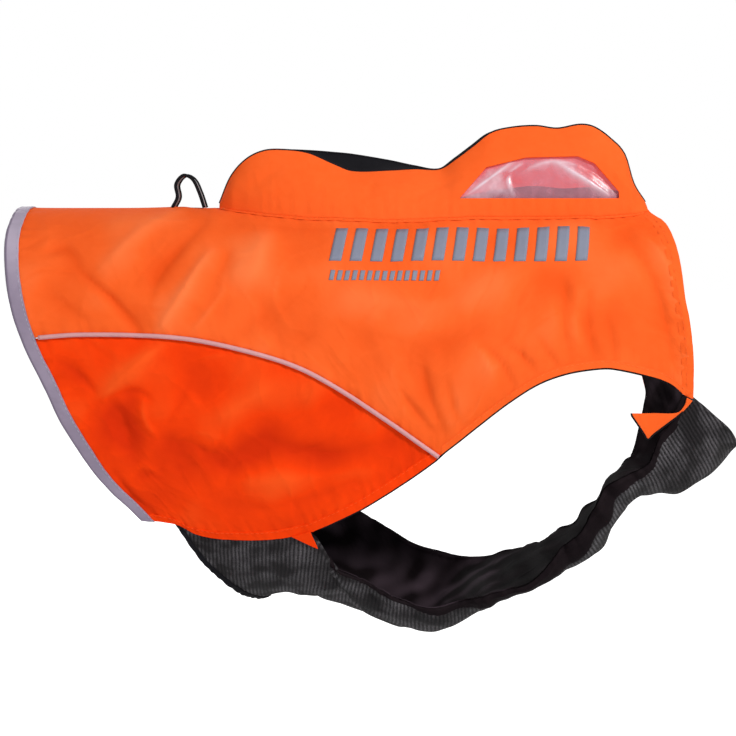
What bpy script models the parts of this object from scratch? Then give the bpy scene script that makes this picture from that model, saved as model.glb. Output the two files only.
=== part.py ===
"""A dog's safety vest, hollow and filled out as it is worn.

Metres, +Z up.  +X points to the neck, -Y is the vest's right side.  The origin lies
inside the cloth on the spine, halfway along the back, where the wearer carries it.
Side-view sizes are in millimetres: x along the back, z up from the spine.
"""

import math
from collections import namedtuple

import bmesh
import bpy
from mathutils import Vector

MM = 0.001
RIGHT = -1
LEFT = 1

# ---------------------------------------------------------------- driving sizes (mm)

BACK_LENGTH = 502.0
CLOTH = 1.5
LINING = 1.0
SEAM_GAP = 0.3
LAYER_GAP = 0.4

BINDING_WIDTH = 10.5
BINDING_CLOTH = 1.0
BELLY_BINDING_WIDTH = 6.0
PIPING_RADIUS = 1.7
EDGING_RADIUS = 1.0
LEFT_CORNER_RISE = 9.0

POCKET_CLOTH = 1.2
POCKET_TOP_HALF_WIDTH = 12.0
POCKET_BULGE = 4.0
WINDOW_FILM = 1.0
WINDOW_OVERLAP = 4.0
WINDOW_GAP = 0.8

TAB_CLOTH = 1.2
LOW_TAB_LIFT = 1.9
TAB_LIFT = 2.4

LOOP_HALF_WIDTH = 9.0
LOOP_FILM = 1.0
LOOP_CORD_RADIUS = 1.3

# ---------------------------------------------------------------- how finely cloth is cut

BACK_COLUMNS = 42
PIPING_COLUMNS = 26
BACK_ROWS = 12
HEM_COLUMNS = 14
SIDE_ROWS = 8
BELLY_COLUMNS_PER_ROW = 3
BELLY_HALF_STEPS = 6
BELLY_SKIP = 2
POCKET_COLUMNS = 32
POCKET_ROWS = 4
LOOP_COLUMNS = 12
WINDOW_COLUMNS = 14

# ---------------------------------------------------------------- tables (mm)

# The hollow that the vest keeps: one row for each section across the body.
Section = namedtuple("Section", "x half_width widest_z bottom_z fullness")
SECTIONS = [
    Section(-260, 89, -110, -268, 2.5),
    Section(-150, 93, -116, -292, 2.8),
    Section(-20, 97, -130, -325, 3.4),
    Section(65, 99, -140, -340, 4.0),
    Section(150, 98, -136, -326, 4.0),
    Section(215, 95, -126, -300, 3.6),
    Section(285, 92, -112, -280, 3.0),
]

# Outlines in the side view.
Point = namedtuple("Point", "x z")
REAR_HEM = [
    Point(-248.5, 2), Point(-248.5, -6), Point(-248.5, -18), Point(-247, -31), Point(-244, -47),
    Point(-237, -75), Point(-227.5, -101), Point(-216, -125), Point(-203, -153),
    Point(-190, -177), Point(-174, -201), Point(-144, -233),
]
NECK_EDGE = [
    Point(246.5, 2), Point(248, -4), Point(255, -10), Point(259, -22), Point(261.5, -40),
    Point(263, -65), Point(265.5, -80), Point(268, -110), Point(268.5, -140),
]
PIPING_LINE = [
    Point(-227, -95), Point(-181, -92), Point(-112, -94.5), Point(-60, -104.5), Point(-18, -118.5),
    Point(26, -144.5), Point(79.5, -182),
]
LEG_TOP = [
    Point(79.5, -182), Point(114, -154.5), Point(133, -140), Point(153, -127.5),
    Point(174, -120), Point(196, -116.5), Point(209, -116.5), Point(240, -123.5),
    Point(252, -128.5), Point(261, -136),
]
SIDE_HEM = [
    Point(-144, -233), Point(-117, -235.5), Point(-101, -243.5), Point(-79, -247),
    Point(-41, -246), Point(-16, -240.5),
]
SIDE_FRONT = [
    Point(-16, -240.5), Point(0, -233), Point(24, -220.5), Point(57.5, -199), Point(77, -185),
]

# The limp belly panel: its two edges and its keel, a row for every third line across it.
BellyRow = namedtuple("BellyRow", "right_x right_z left_x left_z keel_x keel_z bow")
BELLY = [
    BellyRow(-117, -236, -117, -236, -57, -309, -5),
    BellyRow(-92, -246, -92, -246, -40, -304, -2),
    BellyRow(-66, -248, -66, -248, -20, -303, 0),
    BellyRow(-40, -247, -40, -247, 2, -310, 0),
    BellyRow(-16, -241, -16, -241, 22, -318, 0),
    BellyRow(-2, -265, 12, -258, 40, -325, 0),
    BellyRow(24, -278, 36, -272, 57, -330, 0),
    BellyRow(50, -292, 62, -288, 75, -331, 0),
    BellyRow(76, -299, 92, -298, 94, -326, 0),
    BellyRow(102, -294, 120, -301, 114, -312, 0),
    BellyRow(128, -286, 146, -298, 136, -300, 0),
    BellyRow(152, -278, 170, -292, 158, -291, 0),
    BellyRow(172, -254, 192, -281, 182, -280, 0),
    BellyRow(188, -238, 212, -265, 205, -269, 0),
    BellyRow(198, -218, 230, -248, 220, -248, 0),
    BellyRow(208, -203, 245, -229, 233, -226, 0),
    BellyRow(225, -195, 256, -216, 251, -219, 0),
    BellyRow(238, -186, 260, -200, 271, -220, 1),
    BellyRow(246, -166, 267, -166, 296, -208, 4),
    BellyRow(268.5, -140, 268.5, -131, 313, -187, 8),
]
BELLY_FULLNESS = 2.4

# Waves that the elastic pulls into the belly panel, counted in lines across it.
Gather = namedtuple("Gather", "first last waves height")
GATHERS = [
    Gather(14, 34, 4.5, 2.2),
    Gather(30, 54, 6.5, 2.6),
]

# The largest folds, as ridges (height above 0) and troughs between two side-view places.
Fold = namedtuple("Fold", "side x0 z0 x1 z1 width height")
FOLDS = [
    Fold(RIGHT, -180, -48, -140, -86, 11, -3.0),
    Fold(RIGHT, -96, -42, -124, -84, 12, 2.6),
    Fold(RIGHT, -170, -136, -139, -108, 10, 2.6),
    Fold(RIGHT, -146, -142, -144, -196, 11, -2.8),
    Fold(RIGHT, 176, -60, 196, -108, 9, -2.2),
    Fold(LEFT, -186, -60, -146, -92, 12, -2.8),
    Fold(LEFT, -110, -44, -128, -88, 12, 2.4),
    Fold(LEFT, -160, -128, -136, -112, 10, 2.4),
    Fold(LEFT, -136, -150, -138, -200, 12, -2.6),
    Fold(LEFT, 184, -56, 206, -112, 9, -2.2),
]

# The pocket on the back: seam half width, and the ridge height of each wall.
PocketRow = namedtuple("PocketRow", "x seam_half_width right_z left_z")
POCKET = [
    PocketRow(-90, 8, 5, 5),
    PocketRow(-81, 15, 25, 25),
    PocketRow(-69, 20, 38.5, 38.5),
    PocketRow(-55, 25, 45.5, 45.5),
    PocketRow(-40, 28, 46.5, 47),
    PocketRow(-20, 31, 44, 46.5),
    PocketRow(0, 33, 35.5, 45),
    PocketRow(15, 34, 30, 43.5),
    PocketRow(45, 34, 30.5, 38.5),
    PocketRow(64, 33, 31.5, 34.5),
    PocketRow(84, 32, 31.5, 32),
    PocketRow(96, 32, 39, 40),
    PocketRow(110, 31, 49.5, 50.5),
    PocketRow(123, 31, 59.5, 60),
    PocketRow(138, 31, 63.5, 63.5),
    PocketRow(158, 31, 65, 65),
    PocketRow(175, 31, 63, 63),
    PocketRow(193, 30, 66, 66),
    PocketRow(204, 30, 64, 64),
    PocketRow(217, 28, 55, 55),
    PocketRow(228, 26, 43, 43),
    PocketRow(236, 24, 21, 22),
    PocketRow(246, 20, 6, 6),
]
POCKET_RIDGE_NARROWS_BELOW = 40.0

# The window's corners on the right pocket wall.
WINDOW = [
    Point(101, 9), Point(121, 34), Point(130, 38), Point(190, 40.5), Point(203, 36),
    Point(222, 14), Point(222, 9),
]

# The loop on the spine, standing up as an arch.
LOOP_ARCH = [
    Point(-127, 2.4), Point(-123, 10), Point(-124, 20), Point(-118, 27), Point(-111, 24),
    Point(-106, 14), Point(-102, 2.4),
]

# Corner tabs: side-view corners, and for the left front one its column and step on the belly.
FRONT_TAB = [Point(222.5, -150), Point(256.5, -150.5), Point(235, -170)]
REAR_TAB = [Point(-30, -243.5), Point(-16, -239), Point(-10, -252.5)]
BellySpot = namedtuple("BellySpot", "column step")
LEFT_FRONT_TAB = [BellySpot(55.6, 11.9), BellySpot(55.6, 10.6), BellySpot(52.6, 11.4)]

# ---------------------------------------------------------------- colours

Finish = namedtuple("Finish", "colour roughness")
LIGHT_ORANGE = Finish((1.0, 0.13, 0.012), 0.75)
RED_ORANGE = Finish((0.87, 0.045, 0.003), 0.75)
REFLECTIVE = Finish((0.40, 0.37, 0.50), 0.45)
RIBBED_GREY = Finish((0.045, 0.042, 0.042), 0.85)
BLACK = Finish((0.012, 0.011, 0.014), 0.5)
CLEAR_FILM = Finish((0.62, 0.60, 0.66), 0.2)


# ---------------------------------------------------------------- curves

def smooth(knots, values, at):
    """Value at a place on the smooth curve through the knots, which rise."""
    last = len(knots) - 1
    k = 0
    while k < last - 1 and at > knots[k + 1]:
        k += 1

    def slope(i):
        lo, hi = max(i - 1, 0), min(i + 1, last)
        return (values[hi] - values[lo]) / (knots[hi] - knots[lo])

    span = knots[k + 1] - knots[k]
    u = min(max((at - knots[k]) / span, 0.0), 1.0)
    start = (1 + 2 * u) * (1 - u) ** 2 * values[k] + u * (1 - u) ** 2 * span * slope(k)
    end = u * u * (3 - 2 * u) * values[k + 1] + u * u * (u - 1) * span * slope(k + 1)
    return start + end


def row_at(rows, place, knots=None):
    """A row of a table, smoothly between its rows; the first column is the key by default."""
    knots = knots or [row[0] for row in rows]
    columns = [smooth(knots, column, place) for column in zip(*rows)]
    return type(rows[0])(*columns)


def spread(points, count):
    """Points evenly spaced along the smooth curve through the given ones."""
    reach = [0.0]
    for a, b in zip(points, points[1:]):
        reach.append(reach[-1] + math.dist(a, b))
    places = [reach[-1] * i / count for i in range(count + 1)]
    return [row_at(points, place, reach) for place in places]


def x_on(points, z):
    """Where a side-view line that always falls lies at height z."""
    return smooth([-p.z for p in points], [p.x for p in points], -z)


# ---------------------------------------------------------------- the body's skin

Place = namedtuple("Place", "x angle")


def bare_skin(x, angle, side):
    """Inside of the cloth before folds; angle 0 is the spine, pi is under the belly."""
    section = row_at(SECTIONS, x)
    upper = angle < math.pi / 2
    depth = -section.widest_z if upper else section.widest_z - section.bottom_z
    power = 2.0 if upper else section.fullness
    across, up = math.sin(angle), math.cos(angle)
    share = (across / section.half_width) ** power + (abs(up) / depth) ** power
    reach = share ** (-1 / power)
    return Vector((x, side * reach * across, section.widest_z + reach * up))


def first_past(low, high, is_past):
    """The value between low and high from which is_past holds."""
    for _ in range(40):
        middle = (low + high) / 2
        if is_past(middle):
            high = middle
        else:
            low = middle
    return (low + high) / 2


def angle_at(x, z):
    """Angle on the skin whose height is z."""
    return first_past(0.0, math.pi, lambda angle: bare_skin(x, angle, LEFT).z <= z)


def angle_beside(x, half_width):
    """Angle on the back where the skin is half_width from the middle."""
    return first_past(0.0, math.pi / 2, lambda angle: bare_skin(x, angle, LEFT).y >= half_width)


def fold_height(x, z, side):
    """How far the folds push the cloth out at a place."""
    height = 0.0
    for fold in FOLDS:
        if fold.side != side:
            continue
        along = Vector((fold.x1 - fold.x0, fold.z1 - fold.z0))
        offset = Vector((x - fold.x0, z - fold.z0))
        share = min(max(offset.dot(along) / along.length_squared, 0.0), 1.0)
        away = (offset - along * share).length / fold.width
        height += fold.height * math.exp(-away * away)
    return height


def skin_normal(x, angle, side):
    """Outward direction of the skin."""
    step_x, step_angle = 1.0, 0.01
    angle = max(angle, step_angle)
    along = bare_skin(x + step_x, angle, side) - bare_skin(x - step_x, angle, side)
    round_it = bare_skin(x, angle + step_angle, side) - bare_skin(x, angle - step_angle, side)
    normal = along.cross(round_it) * side
    return normal.normalized()


def skin(x, angle, side, lift):
    """A point on the vest, lifted off its inside face."""
    if angle < 1e-6:
        return Vector((x, 0.0, lift))
    bare = bare_skin(x, angle, side)
    return bare + skin_normal(x, angle, side) * (lift + fold_height(x, bare.z, side))


def place_on(point):
    """Place on the skin of a side-view point."""
    return Place(point.x, angle_at(point.x, point.z))


def settled(point, side):
    """The left front corner sits a little higher than the right one."""
    if side == RIGHT:
        return point
    u = min(max((point.x - 120.0) / 140.0, 0.0), 1.0)
    return Point(point.x, point.z + LEFT_CORNER_RISE * u * u * (3 - 2 * u))


def edge_down(line, end_angle, rows, first_angle=0.0):
    """Places down a side-view line at even angles, from the first angle to the last."""
    places = []
    for row in range(rows + 1):
        angle = first_angle + (end_angle - first_angle) * row / rows
        x = line[0].x
        for _ in range(12):
            x = x_on(line, bare_skin(x, angle, LEFT).z)
        places.append(Place(x, angle))
    return places


def fill_patch(top, bottom, rear, front):
    """Places of a four-sided panel from its four edges: result[column][row]."""
    columns, rows = len(top) - 1, len(rear) - 1
    patch = []
    for i in range(columns + 1):
        u = i / columns
        line = []
        for j in range(rows + 1):
            v = j / rows
            values = []
            for c in range(2):
                across = (1 - v) * top[i][c] + v * bottom[i][c]
                along = (1 - u) * rear[j][c] + u * front[j][c]
                corners = (1 - u) * ((1 - v) * top[0][c] + v * bottom[0][c])
                corners += u * ((1 - v) * top[-1][c] + v * bottom[-1][c])
                values.append(across + along - corners)
            line.append(Place(*values))
        patch.append(line)
    return patch


# ---------------------------------------------------------------- solids

def material(name, finish):
    """A plain Principled material in the piece's own colour."""
    made = bpy.data.materials.new(name)
    made.use_nodes = True
    shader = made.node_tree.nodes["Principled BSDF"]
    shader.inputs["Base Color"].default_value = (*finish.colour, 1.0)
    shader.inputs["Roughness"].default_value = finish.roughness
    shader.inputs["Metallic"].default_value = 0.0
    return made


def finish_object(name, bm, finish):
    """Turn a closed bmesh in millimetres into the named object."""
    bmesh.ops.scale(bm, vec=Vector((MM, MM, MM)), verts=bm.verts)
    bmesh.ops.recalc_face_normals(bm, faces=bm.faces)
    mesh = bpy.data.meshes.new(name)
    bm.to_mesh(mesh)
    bm.free()
    mesh.shade_smooth()
    mesh.set_sharp_from_angle(angle=math.radians(50))
    made = bpy.data.objects.new(name, mesh)
    made.data.materials.append(material(name, finish))
    bpy.context.collection.objects.link(made)
    return made


def add_wall(bm, outer, inner):
    """Closed wall between two grids of points of the same size."""
    columns, rows = len(outer), len(outer[0])
    out = [[bm.verts.new(p) for p in line] for line in outer]
    inn = [[bm.verts.new(p) for p in line] for line in inner]
    for i in range(columns - 1):
        for j in range(rows - 1):
            bm.faces.new((out[i][j], out[i + 1][j], out[i + 1][j + 1], out[i][j + 1]))
            bm.faces.new((inn[i][j], inn[i][j + 1], inn[i + 1][j + 1], inn[i + 1][j]))
    rim = [(i, 0) for i in range(columns)]
    rim += [(columns - 1, j) for j in range(1, rows)]
    rim += [(i, rows - 1) for i in range(columns - 2, -1, -1)]
    rim += [(0, j) for j in range(rows - 2, 0, -1)]
    for (i, j), (k, m) in zip(rim, rim[1:] + rim[:1]):
        bm.faces.new((out[i][j], inn[i][j], inn[k][m], out[k][m]))


def cloth_piece(name, outer, inner, finish):
    """A named wall of cloth."""
    bm = bmesh.new()
    add_wall(bm, outer, inner)
    return finish_object(name, bm, finish)


def add_sweep(bm, rings, caps):
    """Solid through a list of rings; each cap is a list of corner indices."""
    made = [[bm.verts.new(p) for p in ring] for ring in rings]
    count = len(rings[0])
    for a, b in zip(made, made[1:]):
        for k in range(count):
            n = (k + 1) % count
            bm.faces.new((a[k], a[n], b[n], b[k]))
    for cap in caps:
        bm.faces.new([made[0][k] for k in cap])
        bm.faces.new([made[-1][k] for k in reversed(cap)])


def swept_piece(name, rings, caps, finish):
    """A named solid swept through rings."""
    bm = bmesh.new()
    add_sweep(bm, rings, caps)
    return finish_object(name, bm, finish)


def round_rings(path, radius, corners):
    """Rings of a cord along a path of points."""
    rings = []
    guide = None
    for i, centre in enumerate(path):
        ahead = path[min(i + 1, len(path) - 1)] - path[max(i - 1, 0)]
        ahead.normalize()
        guide = ahead.orthogonal() if guide is None else guide
        first = (guide - ahead * guide.dot(ahead)).normalized()
        guide = first
        second = ahead.cross(first)
        turns = [2 * math.pi * k / corners for k in range(corners)]
        rings.append([centre + (first * math.cos(t) + second * math.sin(t)) * radius for t in turns])
    return rings


def cord(name, path, radius, corners, finish):
    """A named round cord with flat ends."""
    return swept_piece(name, round_rings(path, radius, corners), [list(range(corners))], finish)


# A binding's section, folded round an edge: distance in from the edge, and level.
FoldedCorner = namedtuple("FoldedCorner", "inset level")
FOLDED_CAPS = [[0, 1, 2, 7], [7, 2, 3, 6], [6, 3, 4, 5]]


def folded_section(width, cloth, low, high):
    """Corners of a strip folded round an edge that lies between two levels."""
    gap = LAYER_GAP
    outside = -gap - cloth
    return [
        FoldedCorner(width, high + gap), FoldedCorner(width, high + gap + cloth),
        FoldedCorner(outside, high + gap + cloth), FoldedCorner(outside, low - gap - cloth),
        FoldedCorner(width, low - gap - cloth), FoldedCorner(width, low - gap),
        FoldedCorner(-gap, low - gap), FoldedCorner(-gap, high + gap),
    ]


# ---------------------------------------------------------------- panels

def back_lines(side):
    """Bottom edge of one half of the back panel, at its columns."""
    seam = spread(PIPING_LINE, PIPING_COLUMNS)
    leg_columns = BACK_COLUMNS - PIPING_COLUMNS - 1
    leg = spread([settled(p, side) for p in LEG_TOP], leg_columns)
    corner = settled(Point(NECK_EDGE[-1].x, NECK_EDGE[-1].z), side)
    return [Point(p.x, p.z + SEAM_GAP / 2) for p in seam] + leg[1:] + [corner]


def back_half(side):
    """Places of one half of the back panel: result[column][row], row 0 on the spine."""
    half = BACK_LENGTH / 2
    top = [Place(-half + BACK_LENGTH * i / BACK_COLUMNS, 0.0) for i in range(BACK_COLUMNS + 1)]
    bottom = [place_on(p) for p in back_lines(side)]
    rear = edge_down(REAR_HEM, bottom[0].angle, BACK_ROWS)
    bottom[0] = rear[-1]
    neck = NECK_EDGE[:-1] + [settled(NECK_EDGE[-1], side)]
    front = edge_down(neck, bottom[-1].angle, BACK_ROWS)
    bottom[-1] = front[-1]
    return fill_patch(top, bottom, rear, front)


def side_patch():
    """Places of a side panel: result[column][row], row 0 along the piping."""
    seam = [Point(p.x, p.z - SEAM_GAP) for p in spread(PIPING_LINE, PIPING_COLUMNS)]
    top = [place_on(p) for p in seam]
    hem = spread(SIDE_HEM, HEM_COLUMNS)
    front_edge = spread(SIDE_FRONT, PIPING_COLUMNS - HEM_COLUMNS)
    bottom = [place_on(p) for p in hem + front_edge[1:]]
    rear = edge_down(REAR_HEM, bottom[0].angle, SIDE_ROWS, top[0].angle)
    top[0], bottom[0] = rear[0], rear[-1]
    ends = top[-1], bottom[-1]
    shares = [j / SIDE_ROWS for j in range(SIDE_ROWS + 1)]
    front = [Place(*[(1 - s) * ends[0][c] + s * ends[1][c] for c in range(2)]) for s in shares]
    return fill_patch(top, bottom, rear, front)


def on_skin(patch, side, lift):
    """Points of a patch at one level of the vest."""
    return [[skin(*place, side, lift) for place in line] for line in patch]


def build_back_panel(halves):
    """The saddle over the back, in one piece from flank to flank."""
    levels = []
    for lift in (CLOTH, 0.0):
        right = on_skin(halves[RIGHT], RIGHT, lift)
        left = on_skin(halves[LEFT], LEFT, lift)
        levels.append([r[:0:-1] + m for r, m in zip(right, left)])
    return cloth_piece("back_panel", levels[0], levels[1], LIGHT_ORANGE)


def build_side_panel(name, patch, side):
    """One lower flank panel."""
    return cloth_piece(name, on_skin(patch, side, CLOTH), on_skin(patch, side, 0.0), RED_ORANGE)


def build_hem_binding(halves, patch):
    """The wide binding folded round the rear hem, from one side over the back to the other."""
    edge = [(RIGHT, patch[0][j], patch[1][j]) for j in range(SIDE_ROWS, 0, -1)]
    edge += [(RIGHT, halves[RIGHT][0][j], halves[RIGHT][1][j]) for j in range(BACK_ROWS, -1, -1)]
    edge += [(LEFT, halves[LEFT][0][j], halves[LEFT][1][j]) for j in range(1, BACK_ROWS + 1)]
    edge += [(LEFT, patch[0][j], patch[1][j]) for j in range(1, SIDE_ROWS + 1)]
    section = folded_section(BINDING_WIDTH, BINDING_CLOTH, 0.0, CLOTH)
    rings = []
    for side, outermost, inward in edge:
        step = (skin(*inward, side, 0.0) - skin(*outermost, side, 0.0)).length
        ring = []
        for corner in section:
            share = corner.inset / step
            x = outermost.x + (inward.x - outermost.x) * share
            angle = outermost.angle + (inward.angle - outermost.angle) * share
            ring.append(skin(x, angle, side, corner.level))
        rings.append(ring)
    return swept_piece("hem_binding", rings, FOLDED_CAPS, REFLECTIVE)


def build_piping(name, side):
    """The cord in the curved flank seam, from the hem binding to the leg hole."""
    level = CLOTH + LAYER_GAP + PIPING_RADIUS
    seam = spread(PIPING_LINE, PIPING_COLUMNS)
    start = Point(seam[0].x + BINDING_WIDTH + 2.0, seam[0].z)
    route = [start] + [p for p in seam if p.x > start.x + 3.0]
    path = []
    for point in route:
        path.append(skin(*place_on(point), side, level))
    return cord(name, path, PIPING_RADIUS, 6, REFLECTIVE)


def build_leg_edging(name, patch, half, side):
    """The thin black edge round the orange part of a leg hole."""
    below = SEAM_GAP + EDGING_RADIUS
    edge = [column[-1] for column in patch[HEM_COLUMNS + 1:]]
    edge += [column[-1] for column in half[PIPING_COLUMNS + 1:-2]]
    points = [skin(*place, side, CLOTH / 2) for place in edge]
    path = []
    for i, (place, point) in enumerate(zip(edge, points)):
        ahead = points[min(i + 1, len(points) - 1)] - points[max(i - 1, 0)]
        out = ahead.cross(skin_normal(*place, side)) * -side
        path.append(point + out.normalized() * below)
    return cord(name, path, EDGING_RADIUS, 6, BLACK)


# ---------------------------------------------------------------- belly

def belly_row(column):
    """The belly table's row at one line across the panel."""
    return row_at(BELLY, column / BELLY_COLUMNS_PER_ROW, list(range(len(BELLY))))


def belly_edges(patch, halves):
    """The belly panel's two edges as places, meeting the panels above at shared points."""
    count = (len(BELLY) - 1) * BELLY_COLUMNS_PER_ROW
    hem = [line[-1] for line in patch[BELLY_SKIP:HEM_COLUMNS + 1]]
    edges = {}
    for side, names in ((RIGHT, ("right_x", "right_z")), (LEFT, ("left_x", "left_z"))):
        places = []
        for column in range(count + 1):
            x, z = [getattr(belly_row(column), name) for name in names]
            if column < len(hem):
                shared = hem[column]
                x, z = shared.x, bare_skin(*shared, LEFT).z - SEAM_GAP
            elif column > count - 2:
                corner = halves[side][column - count - 1][-1]
                x, z = corner.x, bare_skin(*corner, LEFT).z - SEAM_GAP - 0.1
            places.append(place_on(Point(x, z)))
        edges[side] = places
    return edges


def gather_height(column):
    """How far the elastic's waves push the belly panel out at one line across it."""
    height = 0.0
    for gather in GATHERS:
        share = (column - gather.first) / (gather.last - gather.first)
        if 0.0 < share < 1.0:
            wave = math.sin(2 * math.pi * gather.waves * share)
            height += gather.height * wave * math.sin(math.pi * share)
    return height


def across_belly(row, edge):
    """Points from one edge of the belly panel to its keel, along one row."""
    keel = Vector((row.keel_x, 0.0, row.keel_z))
    points = []
    for step in range(BELLY_HALF_STEPS + 1):
        turn = math.pi / 2 * step / BELLY_HALF_STEPS
        out, down = math.cos(turn), math.sin(turn)
        reach = (out ** BELLY_FULLNESS + down ** BELLY_FULLNESS) ** (-1 / BELLY_FULLNESS)
        share = reach * down
        flat = edge.lerp(keel, share)
        forward = row.bow * math.sin(math.pi * share)
        points.append(Vector((flat.x + forward, edge.y * reach * out, flat.z)))
    return points


def belly_grid(patch, halves):
    """Inside points and outward directions of the belly panel: [column][step]."""
    edges = belly_edges(patch, halves)
    points = []
    for column in range(len(edges[RIGHT])):
        row = belly_row(column)
        right, left = [
            across_belly(row, skin(*edges[side][column], side, 0.0)) for side in (RIGHT, LEFT)
        ]
        points.append(right + left[-2::-1])
    normals = grid_normals(points)
    sewn = HEM_COLUMNS - BELLY_SKIP
    for side, step, inner in ((RIGHT, 0, 1), (LEFT, -1, -2)):
        for column, place in enumerate(edges[side]):
            on_vest = skin_normal(*place, side)
            if column <= sewn:
                normals[column][step] = on_vest
            else:
                beside = normals[column][inner]
                normals[column][step] = min(on_vest, normals[column][step], key=beside.angle)
    steps = 2 * BELLY_HALF_STEPS
    waved = []
    for column, line in enumerate(points):
        height = gather_height(column)
        waved.append([
            p + normals[column][s] * height * math.cos(2 * math.pi * s / steps)
            for s, p in enumerate(line)
        ])
    return waved, normals


def grid_normals(points):
    """Outward direction at each point of the belly panel's grid."""
    normals = []
    last_column, last_step = len(points) - 1, len(points[0]) - 1
    for c in range(last_column + 1):
        line = []
        for s in range(last_step + 1):
            along = points[min(c + 1, last_column)][s] - points[max(c - 1, 0)][s]
            across = points[c][min(s + 1, last_step)] - points[c][max(s - 1, 0)]
            line.append(across.cross(along).normalized())
        normals.append(line)
    return normals


def lifted(points, normals, lift):
    """A grid moved along its outward directions."""
    return [
        [p + n * lift for p, n in zip(line, directions)]
        for line, directions in zip(points, normals)
    ]


def build_belly(points, normals):
    """The ribbed belly panel and its smooth inner layer."""
    cloth_piece("belly_panel", lifted(points, normals, CLOTH), points, RIBBED_GREY)
    top = lifted(points, normals, -SEAM_GAP)
    bottom = lifted(points, normals, -SEAM_GAP - LINING)
    cloth_piece("belly_lining", top, bottom, BLACK)


def build_belly_binding(points, normals):
    """The narrow binding folded round the belly panel's rear edge."""
    section = folded_section(BELLY_BINDING_WIDTH, BINDING_CLOTH, -SEAM_GAP - LINING, CLOTH)
    rings = []
    for rear, inward, normal in zip(points[0], points[1], normals[0]):
        ahead = (inward - rear).normalized()
        rings.append([rear + ahead * corner.inset + normal * corner.level for corner in section])
    return swept_piece("belly_binding", rings, FOLDED_CAPS, BLACK)


# ---------------------------------------------------------------- tabs

def between(a, b, c, u, v):
    """A place inside a three-cornered tab: u runs from a to b, v from c to their edge."""
    first, second = (1 - u) * a[0] + u * b[0], (1 - u) * a[1] + u * b[1]
    return c[0] + v * (first - c[0]), c[1] + v * (second - c[1])


def build_tab(name, corners, spot, low, finish):
    """A small three-cornered tab from its lower level up; spot gives its points at a level."""
    cuts = 4
    levels = []
    for lift in (low + TAB_CLOTH, low):
        grid = []
        for i in range(cuts + 1):
            shares = [0.06 + 0.94 * j / cuts for j in range(cuts + 1)]
            grid.append([spot(*between(*corners, i / cuts, v), lift) for v in shares])
        levels.append(grid)
    return cloth_piece(name, levels[0], levels[1], finish)


def build_tabs(points, normals):
    """The four corner tabs, three on the skin and the left front one on the belly panel."""
    def belly_spot(column, step, lift):
        c, s = int(column), int(step)
        u, v = column - c, step - s
        rows = []
        for k in (c, c + 1):
            near = points[k][s] + normals[k][s] * lift
            far = points[k][s + 1] + normals[k][s + 1] * lift
            rows.append(near.lerp(far, v))
        return rows[0].lerp(rows[1], u)

    def skin_spot(side):
        return lambda x, angle, lift: skin(x, angle, side, lift)

    front = [place_on(p) for p in FRONT_TAB]
    rear = [place_on(p) for p in REAR_TAB]
    build_tab("front_tab_right", front, skin_spot(RIGHT), LOW_TAB_LIFT, LIGHT_ORANGE)
    build_tab("front_tab_left", LEFT_FRONT_TAB, belly_spot, TAB_LIFT, LIGHT_ORANGE)
    build_tab("rear_tab_right", rear, skin_spot(RIGHT), TAB_LIFT, RED_ORANGE)
    build_tab("rear_tab_left", rear, skin_spot(LEFT), TAB_LIFT, RED_ORANGE)


# ---------------------------------------------------------------- pocket

def ridge_half_width(z):
    """Half width of the pocket's top strip, narrower where the pocket runs out."""
    share = min(max(z / POCKET_RIDGE_NARROWS_BELOW, 0.0), 1.0)
    return POCKET_TOP_HALF_WIDTH * (0.35 + 0.65 * share)


def pocket_point(x, share, side, lift):
    """A point up the pocket wall, from its seam (0) to its ridge (1)."""
    row = row_at(POCKET, x)
    ridge_z = row.right_z if side == RIGHT else row.left_z
    seam = skin(x, angle_beside(x, row.seam_half_width), side, CLOTH + LAYER_GAP)
    ridge = Vector((x, side * ridge_half_width(ridge_z), ridge_z))
    out = Vector((0.0, side, 0.35)).normalized()
    bulge = POCKET_BULGE * math.sin(math.pi * share) * min(ridge_z / 30.0, 1.0)
    return seam.lerp(ridge, share) + out * (bulge + lift)


def pocket_places():
    """x of each line up the pocket walls."""
    first, last = POCKET[0].x, POCKET[-1].x
    return [first + (last - first) * i / POCKET_COLUMNS for i in range(POCKET_COLUMNS + 1)]


def build_pocket_wall(name, side):
    """One wall of the pocket."""
    grids = []
    for lift in (POCKET_CLOTH, 0.0):
        grids.append([
            [pocket_point(x, j / POCKET_ROWS, side, lift) for j in range(POCKET_ROWS + 1)]
            for x in pocket_places()
        ])
    return cloth_piece(name, grids[0], grids[1], LIGHT_ORANGE)


def build_pocket_top():
    """The black strip along the ridge, inside the upper edges of both walls."""
    grids = []
    for level in (0.0, -POCKET_CLOTH):
        grid = []
        for x in pocket_places():
            ends = [pocket_point(x, 1.0, side, 0.0) for side in (RIGHT, LEFT)]
            for end, side in zip(ends, (RIGHT, LEFT)):
                end.y -= side * SEAM_GAP
                end.z += level
            shares = [k / 3 for k in range(4)]
            grid.append([ends[0].lerp(ends[1], s) for s in shares])
        grids.append(grid)
    return cloth_piece("pocket_top", grids[0], grids[1], BLACK)


def share_at(x, z):
    """How far up the right pocket wall a height is."""
    return first_past(0.0, 1.0, lambda share: pocket_point(x, share, RIGHT, 0.0).z >= z)


def window_span(z_margin, x):
    """Lowest and highest places of the window on the wall at x, with a margin."""
    bottom = WINDOW[0].z - z_margin
    top = smooth([p.x for p in WINDOW[:-1]], [p.z for p in WINDOW[:-1]], x) + z_margin
    return share_at(x, bottom), share_at(x, max(top, bottom + 2.0))


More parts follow.
